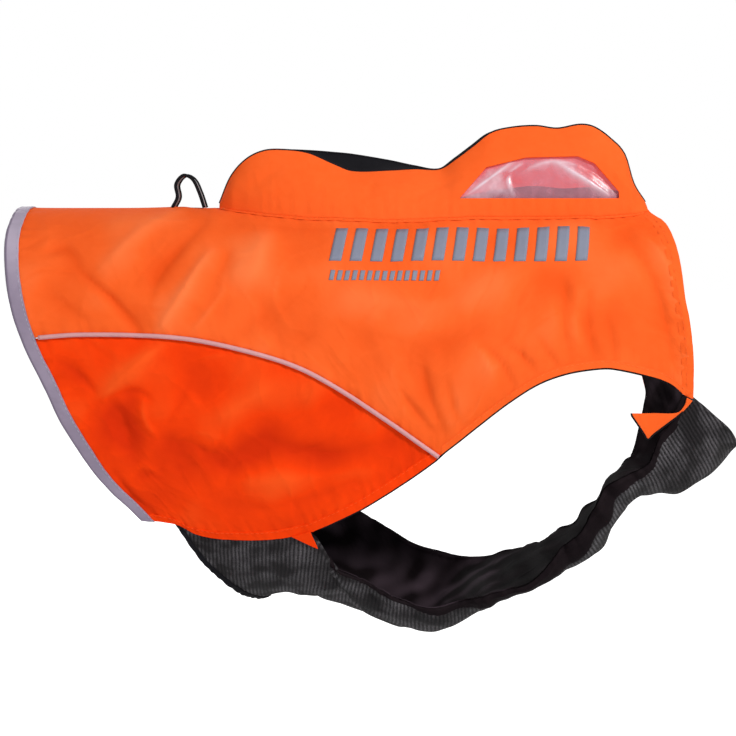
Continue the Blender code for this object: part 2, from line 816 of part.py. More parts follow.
def build_window():
    """The clear film behind the window's hole."""
    first, last = WINDOW[0].x - WINDOW_OVERLAP, WINDOW[-1].x + WINDOW_OVERLAP
    grids = []
    for lift in (-WINDOW_GAP, -WINDOW_GAP - WINDOW_FILM):
        grid = []
        for i in range(WINDOW_COLUMNS + 1):
            x = first + (last - first) * i / WINDOW_COLUMNS
            inside = min(max(x, WINDOW[0].x), WINDOW[-2].x)
            low, high = window_span(WINDOW_OVERLAP, inside)
            grid.append([pocket_point(x, low + (high - low) * j / 4, RIGHT, lift) for j in range(5)])
        grids.append(grid)
    return cloth_piece("pocket_window", grids[0], grids[1], CLEAR_FILM)


def cut_window(wall):
    """Cut the window's hole through the right pocket wall."""
    bm = bmesh.new()
    near = [bm.verts.new(Vector((p.x, -80.0, p.z)) * MM) for p in WINDOW]
    deep = [bm.verts.new(Vector((p.x, 0.0, p.z)) * MM) for p in WINDOW]
    bm.faces.new(near)
    bm.faces.new(list(reversed(deep)))
    for k in range(len(WINDOW)):
        n = (k + 1) % len(WINDOW)
        bm.faces.new((near[n], near[k], deep[k], deep[n]))
    bmesh.ops.recalc_face_normals(bm, faces=bm.faces)
    mesh = bpy.data.meshes.new("window_cutter")
    bm.to_mesh(mesh)
    bm.free()
    cutter = bpy.data.objects.new("window_cutter", mesh)
    bpy.context.collection.objects.link(cutter)
    cutter.display_type = "WIRE"
    cutter.hide_render = True
    cut = wall.modifiers.new("window", "BOOLEAN")
    cut.operation = "DIFFERENCE"
    cut.solver = "EXACT"
    cut.object = cutter


# ---------------------------------------------------------------- loop on the spine

def build_loop():
    """The small standing loop: a clear band with a black cord along each edge."""
    arch = spread(LOOP_ARCH, LOOP_COLUMNS)
    centre = Vector((-115.0, 0.0, 10.0))
    grids = []
    for lift in (LOOP_FILM / 2, -LOOP_FILM / 2):
        grid = []
        for i, point in enumerate(arch):
            before, after = arch[max(i - 1, 0)], arch[min(i + 1, len(arch) - 1)]
            ahead = Vector((after.x - before.x, 0.0, after.z - before.z)).normalized()
            out = Vector((-ahead.z, 0.0, ahead.x))
            middle = Vector((point.x, 0.0, point.z))
            if out.dot(middle - centre) < 0:
                out = -out
            across = Vector((0.0, LOOP_HALF_WIDTH, 0.0))
            grid.append([middle + out * lift + across * s for s in (-1.0, 0.0, 1.0)])
        grids.append(grid)
    cloth_piece("loop_band", grids[0], grids[1], CLEAR_FILM)
    for name, side in (("loop_edge_right", RIGHT), ("loop_edge_left", LEFT)):
        y = side * (LOOP_HALF_WIDTH + SEAM_GAP + LOOP_CORD_RADIUS)
        cord(name, [Vector((p.x, y, p.z)) for p in arch], LOOP_CORD_RADIUS, 6, BLACK)


# ---------------------------------------------------------------- the vest

def clear_scene():
    """Start from an empty scene."""
    for thing in list(bpy.data.objects):
        bpy.data.objects.remove(thing, do_unlink=True)


def build_vest():
    """Every piece of the vest."""
    clear_scene()
    halves = {side: back_half(side) for side in (RIGHT, LEFT)}
    patch = side_patch()
    build_back_panel(halves)
    build_hem_binding(halves, patch)
    for side, word in ((RIGHT, "right"), (LEFT, "left")):
        build_side_panel("side_panel_" + word, patch, side)
        build_piping("piping_" + word, side)
        build_leg_edging("leg_edging_" + word, patch, halves[side], side)
    points, normals = belly_grid(patch, halves)
    build_belly(points, normals)
    build_belly_binding(points, normals)
    build_tabs(points, normals)
    build_pocket_wall("pocket_wall_left", LEFT)
    cut_window(build_pocket_wall("pocket_wall_right", RIGHT))
    build_pocket_top()
    build_window()
    build_loop()


build_vest()
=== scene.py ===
"""Looks of a dog's safety vest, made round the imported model.

+X points to the neck, -Y is the vest's right side, +Z is up.  Tables and shapes are in
millimetres, and every mesh is made in metres.
"""

import math
from collections import namedtuple

import bmesh
import bpy
import numpy as np
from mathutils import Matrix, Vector


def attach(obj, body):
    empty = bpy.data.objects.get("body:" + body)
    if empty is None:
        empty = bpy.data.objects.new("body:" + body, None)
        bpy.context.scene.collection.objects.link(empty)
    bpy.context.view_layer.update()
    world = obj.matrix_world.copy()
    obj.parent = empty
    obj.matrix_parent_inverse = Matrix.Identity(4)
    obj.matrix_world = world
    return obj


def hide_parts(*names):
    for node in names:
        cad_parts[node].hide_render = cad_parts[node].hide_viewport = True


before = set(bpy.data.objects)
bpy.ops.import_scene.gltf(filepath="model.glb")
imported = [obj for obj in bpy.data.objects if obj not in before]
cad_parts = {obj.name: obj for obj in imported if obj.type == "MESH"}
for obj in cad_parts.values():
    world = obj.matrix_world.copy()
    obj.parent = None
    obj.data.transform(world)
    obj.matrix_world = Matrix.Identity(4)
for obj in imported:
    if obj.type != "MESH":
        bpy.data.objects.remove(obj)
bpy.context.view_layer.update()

MM = 0.001
RIGHT = -1
LEFT = 1

# ---------------------------------------------------------------- sizes (mm)

# The vest and its pocket: the model's sizes, but for thinner bindings, tabs and films.
BACK_LENGTH = 502.0
CLOTH = 1.5
LINING = 1.0
SEAM_GAP = 0.3

BINDING_WIDTH = 10.5
BINDING_CLOTH = 0.7
BELLY_BINDING_WIDTH = 6.0
PIPING_RADIUS = 1.7
EDGING_RADIUS = 0.8
LEFT_CORNER_RISE = 9.0

POCKET_CLOTH = 1.2
POCKET_TOP_HALF_WIDTH = 12.0
POCKET_BULGE = 4.0
POCKET_RIDGE_NARROWS_BELOW = 40.0
POCKET_EDGE_RADIUS = 0.9
WINDOW_OVERLAP = 4.0
WINDOW_FILM = 0.4
TAB_CLOTH = 1.0
LOOP_HALF_WIDTH = 9.0
LOOP_FILM = 0.4
LOOP_CORD_RADIUS = 1.3

# Tabs: their outer faces are this far off the inside face of the cloth under them.
TAB_LIFT = 3.4
RIGHT_TAB_LIFT = 3.6
RIGHT_TAB_CURL = 0.9
RIGHT_TAB_DROP = 0.15
TAB_EDGE_RADIUS = 0.7

# Reflective bars: their outer face's rise over the cloth and their own wall.
MARK_LIFT = 0.5
MARK_CLOTH = 0.6

# How deep the window's film and the band behind it lie in the pocket, and the band's height
# as a share of the wall.
FILM_DEPTH = 1.2
BAND_DEPTH = 5.0
BAND_SHARE = 0.335

# Turned hems: the folded edge that is stitched down on the cloth.
SIDE_HEM_WIDTH = 7.5
LEG_HEM_WIDTH = 6.0
NECK_HEM_WIDTH = 10.0
NECK_HEM_FADE = 4.0
HEM_RISE = 0.45
HEM_FOLD_CLOTH = 0.5
NECK_HEM_SUNK = 0.05
# Gathers that stitching draws into the cloth: pitch, height and reach.
HEM_PUCKER = (9.0, 0.25, 8.0)
NECK_PUCKER = (11.0, 0.3)
LEG_SEAM_PUCKER = (9.0, 0.3, 8.0)
BINDING_PUCKER = (12.0, 0.3, 8.0)
NECK_SEAM_PUCKER = (12.0, 0.35, 9.0)
POCKET_SEAM_PUCKER = (12.0, 0.4, 9.0)
POCKET_WALL_PUCKER = (10.0, 0.5, 9.0)
STITCH_RISE = 0.08
SEAM_DIP = 0.9
POCKET_SEAM_WIDTH = 4.0
EDGE_ROLL = 1.1

# The belly panel: how its steps crowd to its edges, the waves along its free edges (pitch,
# rise and fade), the share of its slack and the columns of its left edge with no satin facing.
BELLY_STEP_SPREAD = 1.35
BELLY_EDGE_WAVES = ((9.7, 0.7, 14.0), (5.9, 0.3, 8.0), (19.0, 1.0, 26.0))
SLACK_SHARE = 1.3
LEFT_FOLD_COLUMNS = (28, 48)

STITCH_LENGTH = 2.7
STITCH_GAP = 1.1
STITCH_RADIUS = 0.22

# How finely cloth is cut: each column and row of the model's own grid is cut again.
PIPING_COLUMNS = 26
LEG_COLUMNS = 15
HEM_COLUMNS = 14
BACK_ROWS = 12
SIDE_ROWS = 8
FINE_ALONG = 5
FINE_DOWN = 7
BELLY_COLUMNS_PER_ROW = 3
BELLY_FINE_ALONG = 7
BELLY_FINE_STEPS = 60
MODEL_BELLY_STEPS = 12
BELLY_FIRST_HEM_COLUMN = 14
BELLY_FREE_COLUMN = 12

# ---------------------------------------------------------------- tables (mm)

Section = namedtuple("Section", "x half_width widest_z bottom_z fullness")
SECTIONS = [
    Section(-260, 89, -110, -268, 2.5),
    Section(-150, 93, -116, -292, 2.8),
    Section(-20, 97, -130, -325, 3.4),
    Section(65, 99, -140, -340, 4.0),
    Section(150, 98, -136, -326, 4.0),
    Section(215, 95, -126, -300, 3.6),
    Section(285, 92, -112, -280, 3.0),
]

# Outlines in the side view: x, z.
REAR_HEM = [
    (-248.5, 2), (-248.5, -6), (-248.5, -18), (-247, -31), (-244, -47), (-237, -75),
    (-227.5, -101), (-216, -125), (-203, -153), (-190, -177), (-174, -201), (-144, -233),
]
NECK_EDGE = [
    (246.5, 2), (248, -4), (255, -10), (259, -22), (261.5, -40), (263, -65), (265.5, -80),
    (268, -110), (268.5, -140),
]
PIPING_LINE = [
    (-227, -95), (-181, -92), (-112, -94.5), (-60, -104.5), (-18, -118.5), (26, -144.5),
    (79.5, -182),
]
LEG_TOP = [
    (79.5, -182), (114, -154.5), (133, -140), (153, -127.5), (174, -120), (196, -116.5),
    (209, -116.5), (240, -123.5), (252, -128.5), (261, -136),
]
SIDE_HEM = [
    (-144, -233), (-117, -235.5), (-101, -243.5), (-79, -247), (-41, -246), (-16, -240.5),
]
SIDE_FRONT = [(-16, -240.5), (0, -233), (24, -220.5), (57.5, -199), (77, -185)]

# The limp belly panel: its two edges and its keel.
BellyRow = namedtuple("BellyRow", "right_x right_z left_x left_z keel_x keel_z bow")
BELLY = [
    BellyRow(-117, -236, -117, -236, -57, -309, -5),
    BellyRow(-92, -246, -92, -246, -40, -304, -2),
    BellyRow(-66, -248, -66, -248, -20, -303, 0),
    BellyRow(-40, -247, -40, -247, 2, -310, 0),
    BellyRow(-16, -241, -16, -241, 22, -318, 0),
    BellyRow(-2, -265, 12, -258, 40, -325, 0),
    BellyRow(24, -278, 36, -272, 57, -330, 0),
    BellyRow(50, -292, 62, -288, 75, -331, 0),
    BellyRow(76, -299, 92, -298, 94, -326, 0),
    BellyRow(102, -294, 120, -301, 114, -312, 0),
    BellyRow(128, -286, 146, -298, 136, -300, 0),
    BellyRow(152, -278, 170, -292, 158, -291, 0),
    BellyRow(172, -254, 192, -281, 182, -280, 0),
    BellyRow(188, -238, 212, -265, 205, -269, 0),
    BellyRow(198, -218, 230, -248, 220, -248, 0),
    BellyRow(208, -203, 245, -229, 233, -226, 0),
    BellyRow(225, -195, 256, -216, 251, -219, 0),
    BellyRow(238, -186, 260, -200, 271, -220, 1),
    BellyRow(246, -166, 267, -166, 296, -208, 4),
    BellyRow(268.5, -140, 268.5, -131, 313, -187, 8),
]
BELLY_FULLNESS = 2.4

# Waves that the elastic pulls into the belly panel, counted in the model's lines across it.
Gather = namedtuple("Gather", "first last waves height")
GATHERS = [Gather(14, 34, 4.5, 2.2), Gather(30, 54, 6.5, 2.6)]

# Folds and creases as ridges (height above 0) and troughs between two side-view places.
Fold = namedtuple("Fold", "side x0 z0 x1 z1 width height")
FOLDS = [
    Fold(RIGHT, -180, -48, -140, -86, 11, -3.0),
    Fold(RIGHT, -96, -42, -124, -84, 12, 2.6),
    Fold(RIGHT, -170, -136, -139, -108, 10, 2.6),
    Fold(RIGHT, -146, -142, -144, -196, 11, -2.8),
    Fold(RIGHT, 176, -60, 196, -108, 9, -2.2),
    Fold(LEFT, -186, -60, -146, -92, 12, -2.8),
    Fold(LEFT, -110, -44, -128, -88, 12, 2.4),
    Fold(LEFT, -160, -128, -136, -112, 10, 2.4),
    Fold(LEFT, -136, -150, -138, -200, 12, -2.6),
    Fold(LEFT, 184, -56, 206, -112, 9, -2.2),
]

# Finer creases of the flanks: a line of side-view places, its width and its height.
Crease = namedtuple("Crease", "path width height")
CREASES = [
    Crease([(-191, -41), (-178, -53), (-166, -62), (-153, -75), (-141, -89)], 3.2, -1.9),
    Crease([(-182, -58), (-166, -72), (-152, -88)], 8.0, 1.0),
    Crease([(-90, -32), (-100, -45), (-108, -59), (-117, -73), (-125, -86)], 4.2, 2.6),
    Crease([(-80, -60), (-89, -73), (-100, -87)], 2.8, 1.5),
    Crease([(-168, -42), (-154, -26), (-136, -12), (-117, -2)], 9.0, 2.6),
    Crease([(-135, -70), (-128, -45), (-111, -25), (-97, -9)], 8.0, -2.6),
    Crease([(-216, -34), (-201, -29), (-188, -41)], 6.0, -1.6),
    Crease([(-210, -62), (-196, -70), (-180, -84)], 7.0, -1.2),
    Crease([(-49, -18), (-58, -42), (-66, -62)], 13.0, 2.2),
    Crease([(-76, -30), (-84, -48), (-88, -60)], 6.0, -1.2),
    Crease([(-30, -66), (-50, -78), (-72, -96)], 12.0, -1.6),
    Crease([(176, -54), (173, -85), (178, -107)], 4.5, -1.6),
    Crease([(184, -60), (182, -85), (187, -104)], 4.0, 1.0),
    Crease([(193, -60), (191, -87), (196, -105)], 3.5, -1.2),
    Crease([(206, -79), (211, -109)], 5.0, -1.4),
    Crease([(102, -96), (112, -106), (120, -122)], 3.0, 0.9),
    Crease([(114, -100), (127, -113), (135, -128)], 3.0, -1.5),
    Crease([(130, -98), (143, -108), (153, -119)], 3.0, -1.4),
    Crease([(154, -94), (161, -105), (170, -115)], 3.0, -1.3),
    Crease([(68, -112), (74, -139), (86, -167)], 5.5, -2.2),
    Crease([(51, -131), (64, -149), (77, -164)], 4.5, -1.6),
    Crease([(85, -122), (91, -146), (96, -158)], 4.0, -1.3),
    Crease([(235, -16), (249, -38), (259, -67), (265, -107)], 5.0, 1.5),
    Crease([(225, -22), (240, -51), (249, -88), (254, -115)], 6.0, -1.5),
    Crease([(-70, -12), (-1, -15), (73, -14)], 5.0, -0.8),
    Crease([(113, -110), (119, -116), (126, -112)], 3.0, 0.7),
    Crease([(10, -62), (60, -70), (110, -66)], 12.0, 1.2),
    Crease([(20, -92), (70, -98), (112, -90)], 12.0, -1.2),
    Crease([(-125, -100), (-141, -112), (-156, -125), (-169, -138)], 5.5, 3.0),
    Crease([(-108, -112), (-92, -108), (-74, -106)], 5.0, 1.0),
    Crease([(-159, -136), (-144, -133), (-134, -139)], 4.0, -1.6),
    Crease([(-162, -144), (-154, -160), (-151, -180)], 11.0, -3.2),
    Crease([(-140, -136), (-139, -154), (-129, -169)], 4.5, 1.7),
    Crease([(-138, -171), (-112, -174), (-84, -181), (-52, -180)], 15.0, -2.4),
    Crease([(-66, -170), (-30, -175), (4, -181), (46, -172)], 13.0, -2.2),
    Crease([(-80, -201), (-23, -198), (30, -193)], 10.0, 1.6),
    Crease([(-150, -198), (-140, -189), (-130, -195)], 2.4, 1.3),
    Crease([(-146, -203), (-136, -197), (-124, -202)], 2.6, -1.0),
    Crease([(-100, -174), (-91, -180)], 2.8, -1.0),
    Crease([(-86, -184), (-78, -191)], 2.8, -1.0),
    Crease([(-162, -196), (-150, -213), (-136, -227)], 5.0, -1.9),
    Crease([(-38, -124), (-66, -143), (-86, -155)], 11.0, 2.2),
    Crease([(-200, -112), (-182, -125), (-172, -142)], 5.0, -1.5),
    Crease([(-104, -126), (-112, -142), (-122, -160)], 4.0, -1.0),
    Crease([(20, -200), (-16, -214), (-70, -222)], 7.0, -1.2),
]
FOLD_SHARE = 0.55
# Creases are steeper on the side that faces up and towards the neck.
STEEP_SIDE = (0.8, 0.6)
CREASE_LEAN = 0.45
# The left flank has the same ones a little further on, and lower.
LEFT_CREASE_SHIFT = (9.0, -5.0)
CREASE_SHARE = 1.25
LEFT_CREASE_SHARE = 1.05
# The height at which a ridge has its full painted highlight and a trough its full painted shade.
PAINTED_LIGHT_FULL_HEIGHT = 3.2

# Slow waves of slack cloth: direction in degrees, wavelength, height and start.
SLACK_WAVES = [
    (20, 83, 0.35, 0.4), (75, 61, 0.30, 2.1), (-38, 47, 0.22, 4.0), (130, 36, 0.14, 1.3),
    (-70, 29, 0.10, 5.2), (48, 23, 0.07, 3.3),
]

# Creases of the belly panel, as side-view lines.
BELLY_CREASES = [
    Crease([(-31, -297), (-11, -287), (14, -279)], 3.4, 2.2),
    Crease([(-22, -305), (-2, -294), (20, -287)], 4.0, -1.8),
    Crease([(-118, -252), (-104, -262), (-88, -268)], 3.0, 1.2),
    Crease([(-112, -243), (-96, -251), (-84, -252)], 2.6, -1.1),
    Crease([(30, -300), (44, -306), (58, -304)], 3.0, 1.1),
    Crease([(60, -311), (72, -316), (88, -318)], 3.0, -0.9),
    Crease([(206, -238), (218, -226), (234, -216)], 3.0, 1.8),
    Crease([(212, -246), (224, -236), (238, -229)], 3.0, -1.6),
    Crease([(243, -188), (257, -182), (276, -172)], 4.0, 1.6),
    Crease([(246, -200), (262, -196), (282, -188)], 5.0, -1.4),
    Crease([(262, -206), (280, -198), (296, -188)], 4.0, 1.2),
    Crease([(268, -160), (284, -168), (298, -178)], 4.0, -1.2),
]

# The satin facing along the right leg hole's edge, as wide as it rolls out, by line across.
FacingRow = namedtuple("FacingRow", "column width")
FACING = [
    FacingRow(12, 5.5), FacingRow(22, 5.5), FacingRow(27, 8), FacingRow(30, 14),
    FacingRow(36, 17), FacingRow(42, 16), FacingRow(45, 13), FacingRow(48, 7), FacingRow(50, 5.5),
    FacingRow(57, 5.5),
]
# Where the facing is wide, the turned rib beside it has lighter rib crowns.
RIM_FROM_WIDTH = 7.0
RIM_MIDDLE = 4.5
RIM_HALF_WIDTH = 3.5
RIM_TONE = 0.5

# Painted highlight and painted shade on the satin inside of the belly panel, by line across it.
PaintedSatinLight = namedtuple("PaintedSatinLight", "column tone")
PAINTED_SATIN_LIGHT = [
    PaintedSatinLight(0, 0.1), PaintedSatinLight(10, 0.2), PaintedSatinLight(18, 0.45), PaintedSatinLight(26, 0.35),
    PaintedSatinLight(31, -0.3), PaintedSatinLight(40, -0.7), PaintedSatinLight(50, -0.6), PaintedSatinLight(57, -0.3),
]

# The pocket on the back: seam half width, and the ridge height of each wall.
PocketRow = namedtuple("PocketRow", "x seam_half_width right_z left_z")
POCKET = [
    PocketRow(-90, 8, 5, 5),
    PocketRow(-81, 15, 25, 25),
    PocketRow(-69, 20, 38.5, 38.5),
    PocketRow(-55, 25, 45.5, 45.5),
    PocketRow(-40, 28, 46.5, 47),
    PocketRow(-20, 31, 44, 46.5),
    PocketRow(0, 33, 35.5, 45),
    PocketRow(15, 34, 30, 43.5),
    PocketRow(45, 34, 30.5, 38.5),
    PocketRow(64, 33, 31.5, 34.5),
    PocketRow(84, 32, 31.5, 32),
    PocketRow(96, 32, 39, 40),
    PocketRow(110, 31, 49.5, 50.5),
    PocketRow(123, 31, 59.5, 60),
    PocketRow(138, 31, 63.5, 63.5),
    PocketRow(158, 31, 65, 65),
    PocketRow(175, 31, 63, 63),
    PocketRow(193, 30, 66, 66),
    PocketRow(204, 30, 64, 64),
    PocketRow(217, 28, 55, 55),
    PocketRow(228, 26, 43, 43),
    PocketRow(236, 24, 21, 22),
    PocketRow(246, 20, 6, 6),
]
POCKET_COLUMNS = 168
POCKET_ROWS = 24

# The window's corners on the right pocket wall.
WINDOW = [(98, 9), (119, 33), (150, 40.5), (190, 41.5), (203, 36), (222, 14), (222, 9)]

POCKET_CREASES = [
    Crease([(58, 7), (76, 14), (98, 24)], 5.0, -1.6),
    Crease([(-66, 14), (-52, 24), (-40, 34)], 5.0, -1.2),
    Crease([(214, 34), (222, 24), (232, 12)], 3.6, 1.6),
    Crease([(-20, 6), (-8, 16), (-4, 26)], 4.0, -0.9),
    Crease([(20, 5), (30, 14), (32, 24)], 4.0, -0.8),
    Crease([(150, 46), (170, 50), (192, 47)], 5.0, 0.9),
    Crease([(120, 44), (132, 50), (150, 54)], 4.0, -0.8),
]
WINDOW_CREASES = [
    Crease([(104, 12), (124, 26), (140, 38)], 2.5, 1.4),
    Crease([(118, 10), (126, 22), (150, 34)], 2.2, -1.2),
    Crease([(140, 12), (136, 26), (146, 36)], 2.5, 1.3),
    Crease([(176, 36), (196, 24), (214, 12)], 2.6, 1.5),
    Crease([(188, 38), (206, 28), (220, 14)], 2.2, -1.2),
    Crease([(146, 30), (170, 38), (196, 34)], 2.6, 0.9),
]

# The loop on the spine, standing up as an arch.
LOOP_ARCH = [(-127, 1.8), (-123, 10), (-124, 20), (-118, 27), (-111, 24), (-106, 14), (-102, 1.8)]

# The right front tab's upper and lower lines; it runs up into the panel's corner.
FRONT_TAB_UPPER = [(221.9, -149.6), (238.8, -149.6), (256.5, -149.2), (261.6, -143.6), (263.1, -138)]
FRONT_TAB_LOWER = [
    (222.3, -151.3), (231.8, -165.0), (234.8, -169.3), (238.4, -165.9), (248.0, -158.4),
    (257.9, -150.6), (264.8, -143.6), (267.4, -140.2),
]
REAR_TAB = [(-30, -243.5), (-16, -239), (-10, -252.5)]
# The left front tab's corners as the model's lines across and steps down the belly panel.
LEFT_FRONT_TAB = [(55.6, 11.9), (55.6, 10.6), (52.6, 11.4)]

# Rows of plain reflective bars, slanting towards the neck.
MarkRow = namedtuple("MarkRow", "first_x low_z width height slant pitch count")
MARK_ROWS = [
    MarkRow(-2.0, -39.0, 9.0, 24.0, 5.0, 15.4, 13),
    MarkRow(-2.0, -53.0, 3.4, 7.0, 1.5, 5.6, 15),
]

# The line that the belly panel's ribs stand across, in the side view.
RIB_AXIS = [
    (-150, -290), (-40, -290), (60, -300), (130, -290), (180, -262), (240, -226), (340, -162),
]


# ---------------------------------------------------------------- curves

def smooth(knots, values, at):
    """Values at places on the smooth curve through the knots, which rise."""
    knots, values, at = np.asarray(knots, float), np.asarray(values, float), np.asarray(at, float)
    last = len(knots) - 1
    k = np.searchsorted(knots[1:-1], at, side="left")
    before = np.maximum(np.arange(last + 1) - 1, 0)
    after = np.minimum(np.arange(last + 1) + 1, last)
    slope = (values[after] - values[before]) / (knots[after] - knots[before])
    span = knots[k + 1] - knots[k]
    u = np.clip((at - knots[k]) / span, 0.0, 1.0)
    start = (1 + 2 * u) * (1 - u) ** 2 * values[k] + u * (1 - u) ** 2 * span * slope[k]
    end = u * u * (3 - 2 * u) * values[k + 1] + u * u * (u - 1) * span * slope[k + 1]
    return start + end


def reach_along(points):
    """Distance along a line of points to each of them."""
    steps = np.linalg.norm(np.diff(points, axis=0), axis=1)
    return np.concatenate([[0.0], np.cumsum(steps)])


def spread(points, count):
    """Points evenly spaced along the smooth curve through the given ones."""
    points = np.asarray(points, float)
    reach = reach_along(points)
    places = np.linspace(0.0, reach[-1], count + 1)
    return np.stack([smooth(reach, column, places) for column in points.T], axis=-1)


def unit(vectors):
    """Vectors of length 1."""
    return vectors / np.maximum(np.linalg.norm(vectors, axis=-1, keepdims=True), 1e-9)


# ---------------------------------------------------------------- the body's skin

def bare_skin(x, angle, side):
    """Inside of the cloth before folds; angle 0 is the spine, pi is under the belly."""
    knots = [s.x for s in SECTIONS]
    half_width, widest_z, bottom_z, fullness = [
        smooth(knots, [getattr(s, name) for s in SECTIONS], x) for name in Section._fields[1:]
    ]
    upper = angle < math.pi / 2
    depth = np.where(upper, -widest_z, widest_z - bottom_z)
    power = np.where(upper, 2.0, fullness)
    across, up = np.sin(angle), np.cos(angle)
    share = np.abs(across / half_width) ** power + (np.abs(up) / depth) ** power
    reach = share ** (-1 / power)
    return np.stack([x + 0 * angle, side * reach * across, widest_z + reach * up], axis=-1)


def first_past(low, high, is_past):
    """The values between low and high from which is_past holds."""
    for _ in range(40):
        middle = (low + high) / 2
        past = is_past(middle)
        high = np.where(past, middle, high)
        low = np.where(past, low, middle)
    return (low + high) / 2


def angle_at(x, z):
    """Angle on the skin whose height is z."""
    low = np.zeros_like(x)
    return first_past(low, low + math.pi, lambda angle: bare_skin(x, angle, LEFT)[..., 2] <= z)


def angle_beside(x, half_width):
    """Angle on the back where the skin is half_width from the middle."""
    low = np.zeros_like(x)
    wide = lambda angle: bare_skin(x, angle, LEFT)[..., 1] >= half_width
    return first_past(low, low + math.pi / 2, wide)


def places_on(points):
    """Places on the skin (x, angle) of side-view points."""
    return np.stack([points[..., 0], angle_at(points[..., 0], points[..., 1])], axis=-1)


def beside_line(x, z, path):
    """Distance from side-view places to a line, the share along it, and how far it leans up."""
    path = spread(path, 3 * (len(path) - 1))
    reach = reach_along(path)
    nearest = np.full(np.shape(x), 1e9)
    share_along, lean = np.zeros(np.shape(x)), np.zeros(np.shape(x))
    for start, end, first, last in zip(path, path[1:], reach, reach[1:]):
        ahead = end - start
        share = ((x - start[0]) * ahead[0] + (z - start[1]) * ahead[1]) / ahead.dot(ahead)
        share = np.clip(share, 0.0, 1.0)
        off_x, off_z = x - start[0] - ahead[0] * share, z - start[1] - ahead[1] * share
        away = np.hypot(off_x, off_z)
        closer = away < nearest
        share_along = np.where(closer, (first + (last - first) * share) / reach[-1], share_along)
        towards = (off_x * STEEP_SIDE[0] + off_z * STEEP_SIDE[1]) / np.maximum(away, 0.3)
        lean = np.where(closer, towards, lean)
        nearest = np.minimum(away, nearest)
    return nearest, share_along, lean


def ridge_shape(away, width):
    """A crease's cross-section: a softly pointed crest with long slopes, 1 at its middle."""
    tip = (0.16 + 0.02 * np.minimum(width, 20.0)) * width
    return np.exp((tip - np.hypot(away, tip)) / (0.62 * width))


def crease_height(x, z, creases):
    """How far creases push the cloth out; each is steeper on its upper front side, and fades out."""
    height = np.zeros_like(x)
    for crease in creases:
        away, share, lean = beside_line(x, z, crease.path)
        fade = np.sin(math.pi * (0.12 + 0.76 * share))
        width = crease.width * (1.0 - CREASE_LEAN * lean)
        height += crease.height * fade * ridge_shape(away, width)
    return height


def fold_height(x, z, side):
    """How far folds, creases and slack push the cloth out."""
    height = np.zeros_like(x)
    for fold in FOLDS:
        if fold.side != side:
            continue
        along_x, along_z = fold.x1 - fold.x0, fold.z1 - fold.z0
        share = (x - fold.x0) * along_x + (z - fold.z0) * along_z
        share = np.clip(share / (along_x ** 2 + along_z ** 2), 0.0, 1.0)
        away = np.hypot(x - fold.x0 - along_x * share, z - fold.z0 - along_z * share)
        height += FOLD_SHARE * fold.height * ridge_shape(away, fold.width)
    if side == RIGHT:
        height += CREASE_SHARE * crease_height(x, z, CREASES)
    else:
        shifted = x - LEFT_CREASE_SHIFT[0], z - LEFT_CREASE_SHIFT[1]
        height += LEFT_CREASE_SHARE * crease_height(*shifted, CREASES)
    below_spine = np.clip(-z / 12.0, 0.0, 1.0)
    for degrees, wavelength, rise, first in SLACK_WAVES:
        heading = math.radians(degrees + 11 * side)
        place = x * math.cos(heading) + z * math.sin(heading)
        height += rise * below_spine * np.sin(2 * math.pi * place / wavelength + first)
    return height + below_spine * crumple_height(x, z, side)


def painted_fold_light(places, side):
    """Painted shade in the folds and painted highlight on the ridges, from -1 to 1."""
    z = bare_skin(places[..., 0], places[..., 1], side)[..., 2]
    return np.clip(fold_height(places[..., 0], z, side) / PAINTED_LIGHT_FULL_HEIGHT, -1.0, 1.0)


def crumple_field(x, z, wavelength, seed):
    """A smooth random field of about unit height over side-view places."""
    draw = np.random.default_rng(seed)
    field = np.zeros_like(x)
    for heading, start, stretch in zip(draw.uniform(0, 2 * math.pi, 14),
                                       draw.uniform(0, 2 * math.pi, 14),
                                       draw.uniform(0.65, 1.5, 14)):
        place = x * math.cos(heading) + z * math.sin(heading)
        field += np.sin(2 * math.pi * place / (wavelength * stretch) + start)
    return field / math.sqrt(7)


def crumple_height(x, z, side):
    """Soft dents and faint sharp creases of cloth that has been folded and worn."""
    soft = 0.55 * crumple_field(x, z, 62.0, 11 + side)
    lines = ridge_shape(crumple_field(x, z, 58.0, 23 + side), 0.2)
    where = np.clip(crumple_field(x, z, 120.0, 37 + side), 0.0, 1.0)
    troughs = ridge_shape(crumple_field(x, z, 71.0, 83 + side), 0.16)
    elsewhere = np.clip(crumple_field(x, z, 100.0, 97 + side), 0.0, 1.0)
    fine = 0.14 * crumple_field(x, z, 24.0, 51 + side)
    return soft + 0.7 * lines * where - 0.6 * troughs * elsewhere + fine


def pucker_height(along, away, pitch=11.0, height=0.35, reach=9.0):
    """Small gathers that a seam draws into the cloth beside it."""
    turn = 2 * math.pi * along / pitch
    wave = np.sin(turn + 1.4 * np.sin(turn / 4.7)) + 0.5 * np.sin(turn / 0.61 + 0.7)
    return height * wave * np.exp(-np.abs(away) / reach)


def skin_normal(x, angle, side):
    """Outward direction of the skin."""
    angle = np.maximum(angle, 0.01)
    along = bare_skin(x + 1.0, angle, side) - bare_skin(x - 1.0, angle, side)
    round_it = bare_skin(x, angle + 0.01, side) - bare_skin(x, angle - 0.01, side)
    return unit(np.cross(along, round_it) * side)


def skin(places, side, lift):
    """Points on the vest, lifted off its inside face."""
    x, angle = places[..., 0], places[..., 1]
    bare = bare_skin(x, angle, side)
    out = skin_normal(x, angle, side)
    out[..., 1] *= np.minimum(angle / 0.02, 1.0)
    height = lift + fold_height(x, bare[..., 2], side)
    return bare + out * height[..., None]


def settled(points, side):
    """The left front corner sits a little higher than the right one."""
    points = np.array(points, float)
    if side == LEFT:
        u = np.clip((points[..., 0] - 120.0) / 140.0, 0.0, 1.0)
        points[..., 1] += LEFT_CORNER_RISE * u * u * (3 - 2 * u)
    return points


